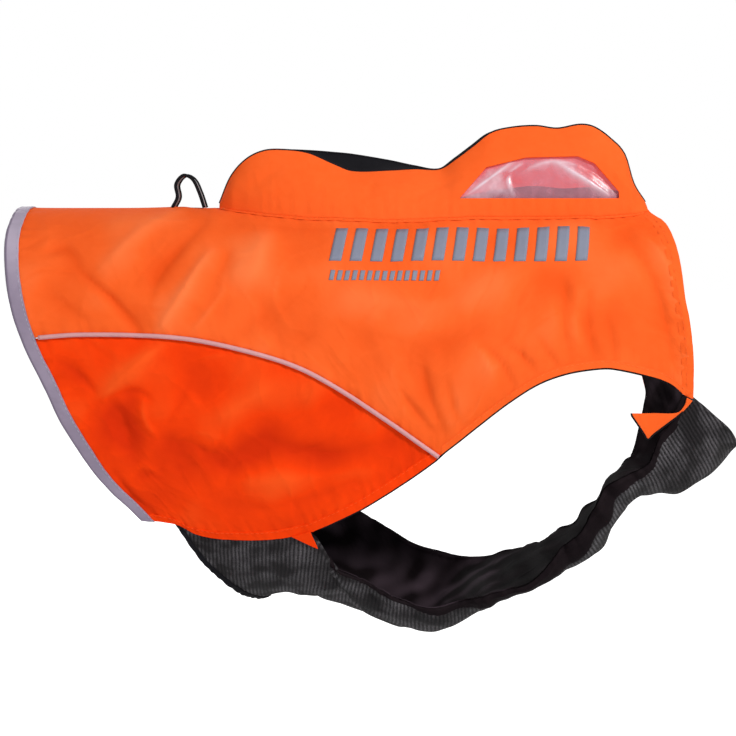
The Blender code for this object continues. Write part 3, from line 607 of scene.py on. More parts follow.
def edge_down(line, end_angle, rows, first_angle=0.0):
    """Places down a side-view line at even angles, from the first angle to the last."""
    line = np.asarray(line, float)
    angle = np.linspace(first_angle, end_angle, rows + 1)
    x = np.full(rows + 1, line[0, 0])
    for _ in range(12):
        x = smooth(-line[:, 1], line[:, 0], -bare_skin(x, angle, LEFT)[:, 2])
    return np.stack([x, angle], axis=-1)


def fill_patch(top, bottom, rear, front):
    """Places of a four-sided panel from its four edges: [column][row]."""
    u = np.linspace(0.0, 1.0, len(top))[:, None, None]
    v = np.linspace(0.0, 1.0, len(rear))[None, :, None]
    across = (1 - v) * top[:, None] + v * bottom[:, None]
    along = (1 - u) * rear[None] + u * front[None]
    corners = (1 - u) * ((1 - v) * top[0] + v * bottom[0]) + u * ((1 - v) * top[-1] + v * bottom[-1])
    return across + along - corners


# ---------------------------------------------------------------- panels as places

def back_half(side):
    """Places of one half of the back panel, row 0 on the spine."""
    seam = spread(PIPING_LINE, PIPING_COLUMNS * FINE_ALONG)
    leg = spread(settled(LEG_TOP, side), LEG_COLUMNS * FINE_ALONG)
    corner = settled(NECK_EDGE[-1], side)
    last = np.linspace(leg[-1], corner, FINE_ALONG + 1)
    line = np.concatenate([seam + (0.0, SEAM_GAP / 2), leg[1:], last[1:]])
    bottom = places_on(line)
    top = np.zeros_like(bottom)
    top[:, 0] = np.linspace(-BACK_LENGTH / 2, BACK_LENGTH / 2, len(bottom))
    rows = BACK_ROWS * FINE_DOWN
    rear = edge_down(REAR_HEM, bottom[0, 1], rows)
    neck = NECK_EDGE[:-1] + [tuple(corner)]
    front = edge_down(neck, bottom[-1, 1], rows)
    bottom[0], bottom[-1] = rear[-1], front[-1]
    return fill_patch(top, bottom, rear, front)


def side_patch():
    """Places of a side panel, row 0 along the piping."""
    top = places_on(spread(PIPING_LINE, PIPING_COLUMNS * FINE_ALONG) - (0.0, SEAM_GAP))
    hem = spread(SIDE_HEM, HEM_COLUMNS * FINE_ALONG)
    front_edge = spread(SIDE_FRONT, (PIPING_COLUMNS - HEM_COLUMNS) * FINE_ALONG)
    bottom = places_on(np.concatenate([hem, front_edge[1:]]))
    rows = SIDE_ROWS * FINE_DOWN
    rear = edge_down(REAR_HEM, bottom[0, 1], rows, top[0, 1])
    top[0], bottom[0] = rear[0], rear[-1]
    front = np.linspace(top[-1], bottom[-1], rows + 1)
    return fill_patch(top, bottom, rear, front)


# ---------------------------------------------------------------- meshes

def laid_flat(points):
    """Real-size UVs of a grid of points: distance along its columns and along its rows."""
    along = np.zeros(points.shape[:2])
    along[1:] = np.cumsum(np.linalg.norm(np.diff(points, axis=0), axis=-1), axis=0)
    down = np.zeros(points.shape[:2])
    down[:, 1:] = np.cumsum(np.linalg.norm(np.diff(points, axis=1), axis=-1), axis=1)
    return np.stack([along.mean(axis=1, keepdims=True) + 0 * down, down], axis=-1)


def cloth_grid(points, flat=None, bm=None):
    """Cloth through a grid of points [column][row], facing columns x rows."""
    flat = laid_flat(points) if flat is None else flat
    columns, rows = points.shape[0] - 1, points.shape[1] - 1
    bm = bm or bmesh.new()
    uv = bm.loops.layers.uv.get("cloth") or bm.loops.layers.uv.new("cloth")
    made = bmesh.ops.create_grid(bm, x_segments=columns, y_segments=rows, size=1.0, calc_uvs=True)
    places = points.transpose(1, 0, 2).reshape(-1, 3) * MM
    laid = flat.transpose(1, 0, 2).reshape(-1, 2) * MM
    for vert, place, spot in zip(made["verts"], places, laid):
        vert.co = place
        for corner in vert.link_loops:
            corner[uv].uv = spot
    return bm


def tube(path, radius, around=10):
    """A closed round tube along a path of points."""
    path = np.asarray(path, float)
    ahead = unit(np.gradient(path, axis=0))
    guide = np.array(Vector(ahead[0]).orthogonal())
    rings = []
    for centre, direction in zip(path, ahead):
        guide = unit(guide - direction * guide.dot(direction))
        side = np.cross(direction, guide)
        turn = np.linspace(0.0, 2 * math.pi, around + 1)[:, None]
        rings.append(centre + (np.cos(turn) * guide + np.sin(turn) * side) * radius)
    bm = cloth_grid(np.array(rings))
    bmesh.ops.remove_doubles(bm, verts=bm.verts, dist=1e-6)
    ends = [e for e in bm.edges if e.is_boundary]
    bmesh.ops.holes_fill(bm, edges=ends, sides=0)
    bmesh.ops.recalc_face_normals(bm, faces=bm.faces)
    return bm


def add_wall_thickness(piece, thickness, inner_finish=False, edge=0.35, inner_rim=False):
    """Give a sheet its cloth thickness, inwards, with softly rounded edges."""
    wall = piece.modifiers.new("cloth thickness", "SOLIDIFY")
    wall.thickness = thickness * MM
    wall.offset = -1.0
    wall.use_even_offset = False
    wall.use_quality_normals = True
    wall.material_offset = 1 if inner_finish else 0
    wall.material_offset_rim = 1 if inner_rim else 0
    if edge:
        round_edge = piece.modifiers.new("turned edge", "BEVEL")
        round_edge.limit_method = "ANGLE"
        round_edge.angle_limit = math.radians(55)
        round_edge.width = edge * MM
        round_edge.segments = 2
        round_edge.profile = 0.5


def finish_piece(name, bm, finishes, nodes, tone=None):
    """Turn a bmesh into a named piece that rides with the vest and stands for its nodes."""
    mesh = bpy.data.meshes.new(name)
    bm.to_mesh(mesh)
    bm.free()
    if tone is not None:
        shade = mesh.attributes.new("tone", "FLOAT", "POINT")
        shade.data.foreach_set("value", tone.transpose(1, 0).reshape(-1).astype(np.float32))
    mesh.shade_smooth()
    piece = bpy.data.objects.new(name, mesh)
    bpy.context.scene.collection.objects.link(piece)
    for finish in finishes:
        mesh.materials.append(finish)
    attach(piece, "root")
    if nodes:
        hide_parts(*nodes)
    return piece


# ---------------------------------------------------------------- shader helpers

# How strongly the painted shade in the folds and the painted highlight on the ridges tint the cloth.
PAINTED_FOLD_SHARE = 0.8
CRUMPLE_HEIGHT = 0.0012


def new_group(name, inputs, outputs):
    """An empty node group with named inputs (name, kind, default) and outputs (name, kind)."""
    group = bpy.data.node_groups.new(name, "ShaderNodeTree")
    for label, kind, default in inputs:
        socket = group.interface.new_socket(label, in_out="INPUT", socket_type=kind)
        socket.default_value = default
    for label, kind in outputs:
        group.interface.new_socket(label, in_out="OUTPUT", socket_type=kind)
    start = group.nodes.new("NodeGroupInput")
    end = group.nodes.new("NodeGroupOutput")
    return group, start, end


def math_node(tree, operation, first, second=None, third=None, clamp=False):
    """A Math node's output; each operand is a socket or a number."""
    node = tree.nodes.new("ShaderNodeMath")
    node.operation = operation
    node.use_clamp = clamp
    for socket, value in zip(node.inputs, (first, second, third)):
        if value is None:
            continue
        if isinstance(value, bpy.types.NodeSocket):
            tree.links.new(value, socket)
        else:
            socket.default_value = value
    return node.outputs[0]


def noise_node(tree, where, scale, detail=2.0, roughness=0.5):
    """A Noise Texture's value."""
    node = tree.nodes.new("ShaderNodeTexNoise")
    node.inputs["Scale"].default_value = scale
    node.inputs["Detail"].default_value = detail
    node.inputs["Roughness"].default_value = roughness
    tree.links.new(where, node.inputs["Vector"])
    return node.outputs["Fac"]


def mix_colour(tree, share, low, high):
    """Between two colours; each is a socket or a colour."""
    node = tree.nodes.new("ShaderNodeMix")
    node.data_type = "RGBA"
    tree.links.new(share, node.inputs["Factor"])
    for label, value in (("A", low), ("B", high)):
        socket = [s for s in node.inputs if s.name == label and s.type == "RGBA"][0]
        if isinstance(value, bpy.types.NodeSocket):
            tree.links.new(value, socket)
        else:
            socket.default_value = (*value, 1.0)
    return [s for s in node.outputs if s.type == "RGBA"][0]


def build_weave_group():
    """Plain weave: height of the threads from the cloth's own UVs, and a slow unevenness."""
    group, start, end = new_group(
        "plain weave",
        [("Thread", "NodeSocketFloat", 0.0006), ("Slub", "NodeSocketFloat", 1.0)],
        [("Height", "NodeSocketFloat"), ("Unevenness", "NodeSocketFloat"),
         ("Crumple", "NodeSocketFloat")],
    )
    uv = group.nodes.new("ShaderNodeUVMap")
    uv.uv_map = "cloth"
    split = group.nodes.new("ShaderNodeSeparateXYZ")
    group.links.new(uv.outputs["UV"], split.inputs[0])
    threads = []
    for axis in ("X", "Y"):
        turns = math_node(group, "DIVIDE", split.outputs[axis], start.outputs["Thread"])
        threads.append(math_node(group, "SINE", math_node(group, "MULTIPLY", turns, math.pi)))
    over = math_node(group, "MULTIPLY", threads[0], threads[1])
    warp = math_node(group, "ABSOLUTE", threads[0])
    weft = math_node(group, "ABSOLUTE", threads[1])
    is_warp = math_node(group, "GREATER_THAN", over, 0.0)
    picked = math_node(group, "MULTIPLY", warp, is_warp)
    is_weft = math_node(group, "SUBTRACT", 1.0, is_warp)
    height = math_node(group, "MULTIPLY_ADD", weft, is_weft, picked)
    group.links.new(height, end.inputs["Height"])
    slow = noise_node(group, uv.outputs["UV"], 9.0, 3.0, 0.55)
    fine = noise_node(group, uv.outputs["UV"], 160.0, 2.0, 0.6)
    uneven = math_node(group, "MULTIPLY_ADD", fine, start.outputs["Slub"], slow)
    group.links.new(uneven, end.inputs["Unevenness"])
    crumple = None
    for scale, line in ((13.0, 16.0), (31.0, 11.0)):
        field = noise_node(group, uv.outputs["UV"], scale, 1.5, 0.45)
        away = math_node(group, "ABSOLUTE", math_node(group, "SUBTRACT", field, 0.5))
        crest = math_node(group, "MULTIPLY_ADD", away, -line, 1.0, clamp=True)
        crumple = crest if crumple is None else math_node(group, "MULTIPLY_ADD", crest, 0.45, crumple)
    group.links.new(math_node(group, "SMOOTH_MIN", crumple, 1.0, 0.3), end.inputs["Crumple"])
    return group


def build_rib_group():
    """Knit ribs across the belly panel: height and a groove mask from its UVs."""
    group, start, end = new_group(
        "knit ribs",
        [("Pitch", "NodeSocketFloat", 0.0028)],
        [("Height", "NodeSocketFloat"), ("Crown", "NodeSocketFloat"), ("Fuzz", "NodeSocketFloat"),
         ("Wear", "NodeSocketFloat")],
    )
    uv = group.nodes.new("ShaderNodeUVMap")
    uv.uv_map = "cloth"
    split = group.nodes.new("ShaderNodeSeparateXYZ")
    group.links.new(uv.outputs["UV"], split.inputs[0])
    wander = noise_node(group, uv.outputs["UV"], 60.0, 2.0, 0.5)
    turns = math_node(group, "DIVIDE", split.outputs["X"], start.outputs["Pitch"])
    turns = math_node(group, "MULTIPLY_ADD", wander, 0.6, turns)
    wave = math_node(group, "SINE", math_node(group, "MULTIPLY", turns, 2 * math.pi))
    crown = math_node(group, "MULTIPLY_ADD", wave, 0.5, 0.5)
    loops = math_node(group, "MULTIPLY", split.outputs["Y"], 2 * math.pi / 0.0014)
    loops = math_node(group, "SINE", math_node(group, "MULTIPLY_ADD", turns, 3.0, loops))
    height = math_node(group, "MULTIPLY_ADD", loops, 0.12, crown)
    fuzz = noise_node(group, uv.outputs["UV"], 900.0, 3.0, 0.7)
    height = math_node(group, "MULTIPLY_ADD", fuzz, 0.35, height)
    group.links.new(height, end.inputs["Height"])
    group.links.new(crown, end.inputs["Crown"])
    group.links.new(fuzz, end.inputs["Fuzz"])
    group.links.new(noise_node(group, uv.outputs["UV"], 42.0, 3.0, 0.55), end.inputs["Wear"])
    return group


def new_material(name):
    """A material with its Principled shader."""
    made = bpy.data.materials.new(name)
    made.use_nodes = True
    return made, made.node_tree, made.node_tree.nodes["Principled BSDF"]


def add_bump(tree, shader, height, strength, distance):
    """Bump the shader's normal."""
    bump = tree.nodes.new("ShaderNodeBump")
    bump.inputs["Strength"].default_value = strength
    bump.inputs["Distance"].default_value = distance
    tree.links.new(height, bump.inputs["Height"])
    tree.links.new(bump.outputs["Normal"], shader.inputs["Normal"])


def woven(name, weave, light, dark, thread=0.0006, roughness=0.8, sheen=0.0,
          bump=0.35, gloss=0.08, folds=None, crumple=0.0):
    """A woven cloth between two close colours, with a painted shade colour for its folds and a
    painted highlight colour for its ridges.
    """
    made, tree, shader = new_material(name)
    cloth = tree.nodes.new("ShaderNodeGroup")
    cloth.node_tree = weave
    cloth.inputs["Thread"].default_value = thread
    cloth.inputs["Slub"].default_value = 0.5
    share = math_node(tree, "MULTIPLY_ADD", cloth.outputs["Unevenness"], 1.6, -0.75, clamp=True)
    colour = mix_colour(tree, share, dark, light)
    # Painted shade in the folds and painted highlight on the ridges, read from the tone attribute.
    if folds:
        tone = tree.nodes.new("ShaderNodeAttribute")
        tone.attribute_name = "tone"
        painted_shade_share = math_node(tree, "MULTIPLY", tone.outputs["Fac"], -PAINTED_FOLD_SHARE, clamp=True)
        ridge = math_node(tree, "MULTIPLY", tone.outputs["Fac"], PAINTED_FOLD_SHARE, clamp=True)
        colour = mix_colour(tree, painted_shade_share, colour, folds[0])
        colour = mix_colour(tree, ridge, colour, folds[1])
    tree.links.new(colour, shader.inputs["Base Color"])
    shader.inputs["Roughness"].default_value = roughness
    shader.inputs["Sheen Weight"].default_value = sheen
    shader.inputs["Sheen Roughness"].default_value = 0.5
    shader.inputs["Specular IOR Level"].default_value = gloss
    add_bump(tree, shader, cloth.outputs["Height"], bump, 0.0002)
    if crumple:
        creased = tree.nodes.new("ShaderNodeBump")
        creased.inputs["Strength"].default_value = crumple
        creased.inputs["Distance"].default_value = CRUMPLE_HEIGHT
        tree.links.new(cloth.outputs["Crumple"], creased.inputs["Height"])
        weave_bump = shader.inputs["Normal"].links[0].from_node
        tree.links.new(creased.outputs["Normal"], weave_bump.inputs["Normal"])
    return made


def ribbed(name, ribs):
    """Dark grey stretch rib, with painted shade darkening the grooves between its ribs."""
    made, tree, shader = new_material(name)
    knit = tree.nodes.new("ShaderNodeGroup")
    knit.node_tree = ribs
    share = math_node(tree, "MULTIPLY_ADD", knit.outputs["Fuzz"], 3.0, knit.outputs["Crown"])
    share = math_node(tree, "MULTIPLY_ADD", share, 0.55, -0.72, clamp=True)
    worn = math_node(tree, "MULTIPLY_ADD", knit.outputs["Wear"], 4.6, -1.9, clamp=True)
    crown = mix_colour(tree, worn, (0.024, 0.021, 0.023), (0.150, 0.140, 0.152))
    # The tone attribute lightens the crowns of the turned rib beside the satin facing.
    tone = tree.nodes.new("ShaderNodeAttribute")
    tone.attribute_name = "tone"
    crown = mix_colour(tree, tone.outputs["Fac"], crown, (0.20, 0.195, 0.21))
    # The grooves are given a darker colour than the crowns: painted shade.
    colour = mix_colour(tree, share, (0.0075, 0.0065, 0.0075), crown)
    tree.links.new(colour, shader.inputs["Base Color"])
    shader.inputs["Roughness"].default_value = 0.85
    shader.inputs["Sheen Weight"].default_value = 0.05
    shader.inputs["Sheen Roughness"].default_value = 0.6
    shader.inputs["Specular IOR Level"].default_value = 0.1
    add_bump(tree, shader, knit.outputs["Height"], 0.9, 0.0006)
    return made


def paint_glow(finish, colour, strength):
    """A painted glow: the cloth gives off light of its own, standing in for the daylight that comes
    through thin bright cloth.
    """
    shader = finish.node_tree.nodes["Principled BSDF"]
    shader.inputs["Emission Color"].default_value = colour
    shader.inputs["Emission Strength"].default_value = strength


def thread(name, light, dark):
    """Sewing thread, uneven along its length."""
    made, tree, shader = new_material(name)
    where = tree.nodes.new("ShaderNodeTexCoord").outputs["Object"]
    uneven = noise_node(tree, where, 700.0, 2.0, 0.6)
    tree.links.new(mix_colour(tree, uneven, dark, light), shader.inputs["Base Color"])
    shader.inputs["Roughness"].default_value = 0.6
    shader.inputs["Specular IOR Level"].default_value = 0.2
    add_bump(tree, shader, uneven, 0.3, 0.0002)
    return made


def clear_film(name, tint, pale, cover):
    """Hazy clear film with soft wrinkles and pale streaks, the streaks being painted highlights."""
    made, tree, shader = new_material(name)
    where = tree.nodes.new("ShaderNodeTexCoord").outputs["Object"]
    haze = noise_node(tree, where, 60.0, 3.0, 0.6)
    streak = noise_node(tree, where, 24.0, 4.0, 0.5)
    tone = tree.nodes.new("ShaderNodeAttribute")
    tone.attribute_name = "tone"
    # Pale streaks, random and along the wrinkles' ridges, are painted highlights.
    white = math_node(tree, "MULTIPLY_ADD", streak, 5.0, -2.75, clamp=True)
    white = math_node(tree, "MAXIMUM", white, tone.outputs["Fac"])
    tree.links.new(mix_colour(tree, white, tint, pale), shader.inputs["Base Color"])
    shader.inputs["Roughness"].default_value = 0.3
    shader.inputs["Coat Weight"].default_value = 0.25
    shader.inputs["Coat Roughness"].default_value = 0.15
    alpha = math_node(tree, "MULTIPLY_ADD", haze, 0.6, cover - 0.3)
    alpha = math_node(tree, "MULTIPLY_ADD", white, 0.45, alpha, clamp=True)
    tree.links.new(alpha, shader.inputs["Alpha"])
    add_bump(tree, shader, streak, 0.4, 0.004)
    return made


# ---------------------------------------------------------------- finishes

WEAVE = build_weave_group()
RIBS = build_rib_group()
# In each folds pair the first colour is painted shade for the troughs and the second is painted
# highlight for the ridges.
LIGHT_ORANGE = woven("light orange cloth", WEAVE, (1.0, 0.143, 0.025), (0.95, 0.117, 0.015),
                     folds=((0.80, 0.072, 0.005), (1.0, 0.21, 0.06)), crumple=0.35)
RED_ORANGE = woven("red orange cloth", WEAVE, (1.0, 0.055, 0.001), (0.90, 0.044, 0.0006),
                   folds=((0.64, 0.022, 0.0004), (1.0, 0.105, 0.012)), crumple=0.45)
# The tape's folds pair is painted shade and painted highlight, set by its tone.
REFLECTIVE = woven("reflective tape", WEAVE, (0.34, 0.28, 0.37), (0.27, 0.225, 0.305),
                   thread=0.0009, roughness=0.4, bump=0.2, crumple=0.25,
                   folds=((0.22, 0.18, 0.25), (0.50, 0.43, 0.54)))
PIPING = woven("piping tape", WEAVE, (0.72, 0.38, 0.39), (0.60, 0.30, 0.31),
               thread=0.0008, roughness=0.4, bump=0.2)
LINING_BLACK = woven("black lining", WEAVE, (0.012, 0.010, 0.012), (0.006, 0.005, 0.006),
                     thread=0.0004, roughness=0.6, sheen=0.0, bump=0.1, gloss=0.06)
# The satin's folds pair is painted shade and painted highlight, set by its tone.
SATIN = woven("black satin", WEAVE, (0.015, 0.010, 0.012), (0.007, 0.005, 0.006),
              thread=0.0004, roughness=0.6, bump=0.1, gloss=0.02, crumple=0.5,
              folds=((0.0035, 0.003, 0.0035), (0.062, 0.044, 0.056)))
TRIM_BLACK = woven("black trim", WEAVE, (0.012, 0.011, 0.014), (0.006, 0.006, 0.008),
                   thread=0.0008, roughness=0.65, sheen=0.0, bump=0.4)
PRINT_GREY = woven("reflective print", WEAVE, (0.26, 0.28, 0.36), (0.22, 0.235, 0.31),
                   thread=0.0006, roughness=0.45, sheen=0.0, bump=0.2)
THREAD_ORANGE = thread("orange thread", (1.0, 0.19, 0.035), (0.95, 0.13, 0.015))
THREAD_RED = thread("red orange thread", (1.0, 0.10, 0.012), (0.95, 0.07, 0.006))
THREAD_GREY = thread("grey thread", (0.5, 0.47, 0.6), (0.4, 0.38, 0.5))
RIBBED = ribbed("ribbed stretch", RIBS)
WINDOW_FILM_FINISH = clear_film("window film", (0.70, 0.30, 0.38), (0.85, 0.70, 0.78), 0.30)
LOOP_FILM_FINISH = clear_film("loop film", (0.42, 0.38, 0.40), (0.80, 0.78, 0.80), 0.72)
POCKET_GREY = woven("pocket inner band", WEAVE, (0.030, 0.027, 0.040), (0.016, 0.014, 0.022))
# The pocket's inside is coloured lighter than its cloth and given a painted glow, both standing in
# for the light that reaches it.
POCKET_INSIDE = woven("pocket inside", WEAVE, (1.0, 0.27, 0.20), (0.95, 0.17, 0.12))
paint_glow(POCKET_INSIDE, (1.0, 0.13, 0.11, 1.0), 0.34)


# ---------------------------------------------------------------- the vest's pieces

def facing_out(points, side):
    """A grid whose rows run down a side, turned so that it faces away from the wearer."""
    return points[:, ::-1] if side == RIGHT else points


def edge_strip(edge, inner, side, insets, level):
    """Points of a strip along a panel's edge, set in from it and lifted off the inside face."""
    step = np.linalg.norm(skin(inner, side, 0.0) - skin(edge, side, 0.0), axis=-1)
    share = insets[None, :] / step[:, None]
    spots = edge[:, None] + (inner - edge)[:, None] * share[..., None]
    return skin(spots, side, level)


def edge_reach(edge, side):
    """Distance along a panel's edge."""
    return reach_along(skin(edge, side, CLOTH))


def back_heights(half, side):
    """Small heights of one half of the back panel beside its seams and hems."""
    base = skin(half, side, CLOTH)
    flat = laid_flat(base)
    along = edge_reach(half[:, -1], side)[:, None]
    from_edge = flat[:, -1:, 1] - flat[..., 1]
    from_rear = flat[..., 0] - BINDING_WIDTH
    from_neck = flat[-1, 0, 0] - flat[..., 0]
    column = np.arange(len(half))[:, None]
    in_seam = np.clip((PIPING_COLUMNS * FINE_ALONG + 1 - column) / 4.0, 0.0, 1.0)
    height = in_seam * (pucker_height(along, from_edge) - SEAM_DIP * np.exp(-from_edge / 2.0))
    height += (1 - in_seam) * pucker_height(along, from_edge - LEG_HEM_WIDTH, *LEG_SEAM_PUCKER)
    height += pucker_height(flat[..., 1], from_rear, *BINDING_PUCKER)
    height += pucker_height(flat[..., 1], from_neck - NECK_HEM_WIDTH, *NECK_SEAM_PUCKER)
    x, beside = base[..., 0], np.abs(base[..., 1])
    knots = [row.x for row in POCKET]
    seam_half_width = smooth(knots, [row.seam_half_width for row in POCKET],
                             np.clip(x, knots[0], knots[-1]))
    away = np.hypot(np.maximum(beside - seam_half_width, 0), np.maximum(knots[0] - x, 0))
    height += pucker_height(x, away, *POCKET_SEAM_PUCKER) * np.clip(beside / 6.0, 0.0, 1.0)
    return height


def build_back_panel(halves):
    """The saddle over the back, from flank to flank, with its black inside."""
    right, left = [
        skin(halves[side], side, CLOTH + back_heights(halves[side], side)) for side in (RIGHT, LEFT)
    ]
    middle = (right[:, :1] + left[:, :1]) / 2
    points = np.concatenate([right[:, :0:-1], middle, left[:, 1:]], axis=1)
    # The tone is the painted shade in the folds and the painted highlight on the ridges.
    tone = np.concatenate([painted_fold_light(halves[RIGHT], RIGHT)[:, ::-1],
                           painted_fold_light(halves[LEFT], LEFT)[:, 1:]], axis=1)
    piece = finish_piece("back_panel_cloth", cloth_grid(points), [LIGHT_ORANGE, LINING_BLACK],
                         ["back_panel"], tone)
    add_wall_thickness(piece, CLOTH, inner_finish=True, inner_rim=True)


def side_heights(patch, side):
    """Small heights of a side panel beside its seams and hems."""
    flat = laid_flat(skin(patch, side, CLOTH))
    from_seam = flat[..., 1]
    from_hem = flat[:, -1:, 1] - flat[..., 1]
    along_seam = edge_reach(patch[:, 0], side)[:, None]
    along_hem = edge_reach(patch[:, -1], side)[:, None]
    height = pucker_height(along_seam, from_seam) - SEAM_DIP * np.exp(-from_seam / 2.0)
    height += pucker_height(along_hem, from_hem - SIDE_HEM_WIDTH, 10.0, 0.35, 8.0)
    return height + pucker_height(flat[..., 1], flat[..., 0] - BINDING_WIDTH, 12.0, 0.35, 8.0)


def build_side_panels(patch):
    """The two lower flank panels."""
    for side, word in ((RIGHT, "right"), (LEFT, "left")):
        points = facing_out(skin(patch, side, CLOTH + side_heights(patch, side)), side)
        # The tone is the painted shade in the folds and the painted highlight on the ridges.
        tone = facing_out(painted_fold_light(patch, side), side)
        piece = finish_piece(f"side_panel_{word}_cloth", cloth_grid(points),
                             [RED_ORANGE, LINING_BLACK],
                             [f"side_panel_{word}"], tone)
        add_wall_thickness(piece, CLOTH, inner_finish=True, inner_rim=True)


def fold_strip(name, points, finish):
    """A turned hem's strip of cloth."""
    piece = finish_piece(name, cloth_grid(points), [finish], [])
    add_wall_thickness(piece, HEM_FOLD_CLOTH, edge=0.2)


def hem_insets(width):
    """Where the points of a turned hem lie across it."""
    return np.concatenate([[0.1, 0.6], np.linspace(1.6, width - 0.8, 5), [width]])


def build_hem_folds(halves, patch):
    """The turned hems along the flanks' lower edges, the leg holes and the neck."""
    for side, word in ((RIGHT, "right"), (LEFT, "left")):
        leg = halves[side][PIPING_COLUMNS * FINE_ALONG + 1:]
        for place, panel, width, finish, slot in (
            ("side", patch[FINE_ALONG:], SIDE_HEM_WIDTH, RED_ORANGE, "red_orange_cloth"),
            ("leg", leg, LEG_HEM_WIDTH, LIGHT_ORANGE, "light_orange_cloth"),
        ):
            edge, inner = panel[:, -1], panel[:, -2]
            insets = hem_insets(width)
            along = edge_reach(edge, side)[:, None]
            level = CLOTH + HEM_RISE + pucker_height(along, insets[None] - width, *HEM_PUCKER)
            points = edge_strip(edge, inner, side, insets, level)[:, ::-1]
            fold_strip(f"{place}_hem_{word}", facing_out(points, side), finish)
    insets = hem_insets(NECK_HEM_WIDTH)
    fade = np.clip((NECK_HEM_WIDTH - insets) / NECK_HEM_FADE, 0.0, 1.0)[None]
    sunk = CLOTH + NECK_HEM_SUNK
    lines = []
    for side, rows in ((RIGHT, slice(None, 0, -1)), (LEFT, slice(1, None))):
        edge, inner = halves[side][-1, rows], halves[side][-2, rows]
        along = edge_reach(edge, side)[:, None]
        level = CLOTH + HEM_RISE + pucker_height(along, insets[None] - NECK_HEM_WIDTH, *NECK_PUCKER)
        level = sunk + (level - sunk) * fade
        lines.append(edge_strip(edge, inner, side, insets, level))
    fold_strip("neck_hem", np.concatenate(lines), LIGHT_ORANGE)


def folded_section(width, half, squeeze):
    """Across a folded tape, from its outer leaf's edge round the fold to its inner leaf's edge."""
    turn = np.linspace(math.pi / 2, 3 * math.pi / 2, 9)
    leaf = np.linspace(width, 2.0, 6)
    inset = np.concatenate([leaf, half * np.cos(turn) + half - squeeze, leaf[::-1]])
    level = np.concatenate([np.full(6, half), half * np.sin(turn), np.full(6, -half)])
    return inset, level


def build_hem_binding(halves, patch):
    """The wide tape folded round the rear hem."""
    inset, level = folded_section(BINDING_WIDTH, BINDING_CLOTH + CLOTH / 2 + 0.25, 0.7)
    edges = [(RIGHT, patch[:2, :0:-1]), (RIGHT, halves[RIGHT][:2, ::-1]),
             (LEFT, halves[LEFT][:2, 1:]), (LEFT, patch[:2, 1:])]
    lines = []
    for side, places in edges:
        lines.append(edge_strip(places[0], places[1], side, inset, level + CLOTH / 2))
    points = np.concatenate(lines)
    along = reach_along(points[:, 0])[:, None]
    ripple = 0.22 * np.sin(2 * math.pi * along / 13.0 + 1.3 * np.sin(along / 9.0))
    outer = np.clip(level / level.max(), 0.0, 1.0)[None]
    across = unit(points[:, :1] - points[:, -1:])
    points = points + across * (ripple * outer)[..., None]
    # Painted light on the tape: lighter higher up and varying slowly along it, with a line of painted
    # shade along its fold.
    tone = np.clip((points[..., 2] + 62.0) / 45.0, -0.15, 0.9) + 0.25 * np.sin(along / 17.0)
    tone = np.where(inset[None] < 1.6, -1.25, tone)
    piece = finish_piece("hem_binding_tape", cloth_grid(points), [REFLECTIVE],
                         ["hem_binding"], tone)
    add_wall_thickness(piece, BINDING_CLOTH, edge=0.2)
    rows = []
    for side, places in edges:
        rows.append(edge_strip(places[0], places[1], side, np.array([BINDING_WIDTH - 1.3]),
                               BINDING_CLOTH + CLOTH + 0.35)[:, 0])
    stitch_piece("hem_binding_stitches", [np.concatenate(rows)], THREAD_GREY)


def build_pipings():
    """The reflective cord in each curved flank seam."""
    seam = spread(PIPING_LINE, PIPING_COLUMNS * FINE_ALONG)
    seam = seam[seam[:, 0] > PIPING_LINE[0][0] + BINDING_WIDTH - 2.5]
    for side, word in ((RIGHT, "right"), (LEFT, "left")):
        path = skin(places_on(seam), side, CLOTH + PIPING_RADIUS * 0.6)
        finish_piece(f"piping_{word}_cord", tube(path, PIPING_RADIUS, 12), [PIPING],
                     [f"piping_{word}"])


def build_leg_edgings(halves, patch):
    """The thin black edge round the orange part of each leg hole."""
    for side, word in ((RIGHT, "right"), (LEFT, "left")):
        edge = np.concatenate([patch[(HEM_COLUMNS + 1) * FINE_ALONG:, -1],
                               halves[side][PIPING_COLUMNS * FINE_ALONG + 2:-2 * FINE_ALONG, -1]])
        points = skin(edge, side, CLOTH / 2)
        out = np.cross(np.gradient(points, axis=0), skin_normal(edge[:, 0], edge[:, 1], side)) * -side
        path = points + unit(out) * EDGING_RADIUS * 0.5
        finish_piece(f"leg_edging_{word}_cord", tube(path, EDGING_RADIUS, 8), [TRIM_BLACK],
                     [f"leg_edging_{word}"])


# ---------------------------------------------------------------- stitching

def stitch_piece(name, paths, finish):
    """Rows of thread stitches along paths of points that already lie on the cloth."""
    bm = bmesh.new()
    for path in paths:
        reach = reach_along(path)
        count = max(int(reach[-1] / (STITCH_LENGTH + STITCH_GAP)), 1)
        starts = (np.arange(count) + 0.5) * reach[-1] / count
        spot = lambda at: np.stack([np.interp(at, reach, column) for column in path.T], axis=-1)
        ahead = unit(spot(starts + 1.0) - spot(starts - 1.0))
        for centre, heading in zip(spot(starts), ahead):
            turned = Vector(heading).to_track_quat("Z", "Y").to_matrix().to_4x4()
            turned.translation = Vector(centre) * MM
            size = (STITCH_RADIUS * MM, STITCH_RADIUS * MM, STITCH_LENGTH / 2 * MM)
            for k in range(3):
                for row in range(3):
                    turned[row][k] *= size[k]
            bmesh.ops.create_uvsphere(bm, u_segments=6, v_segments=4, radius=1.0, matrix=turned)
    finish_piece(name, bm, [finish], [])


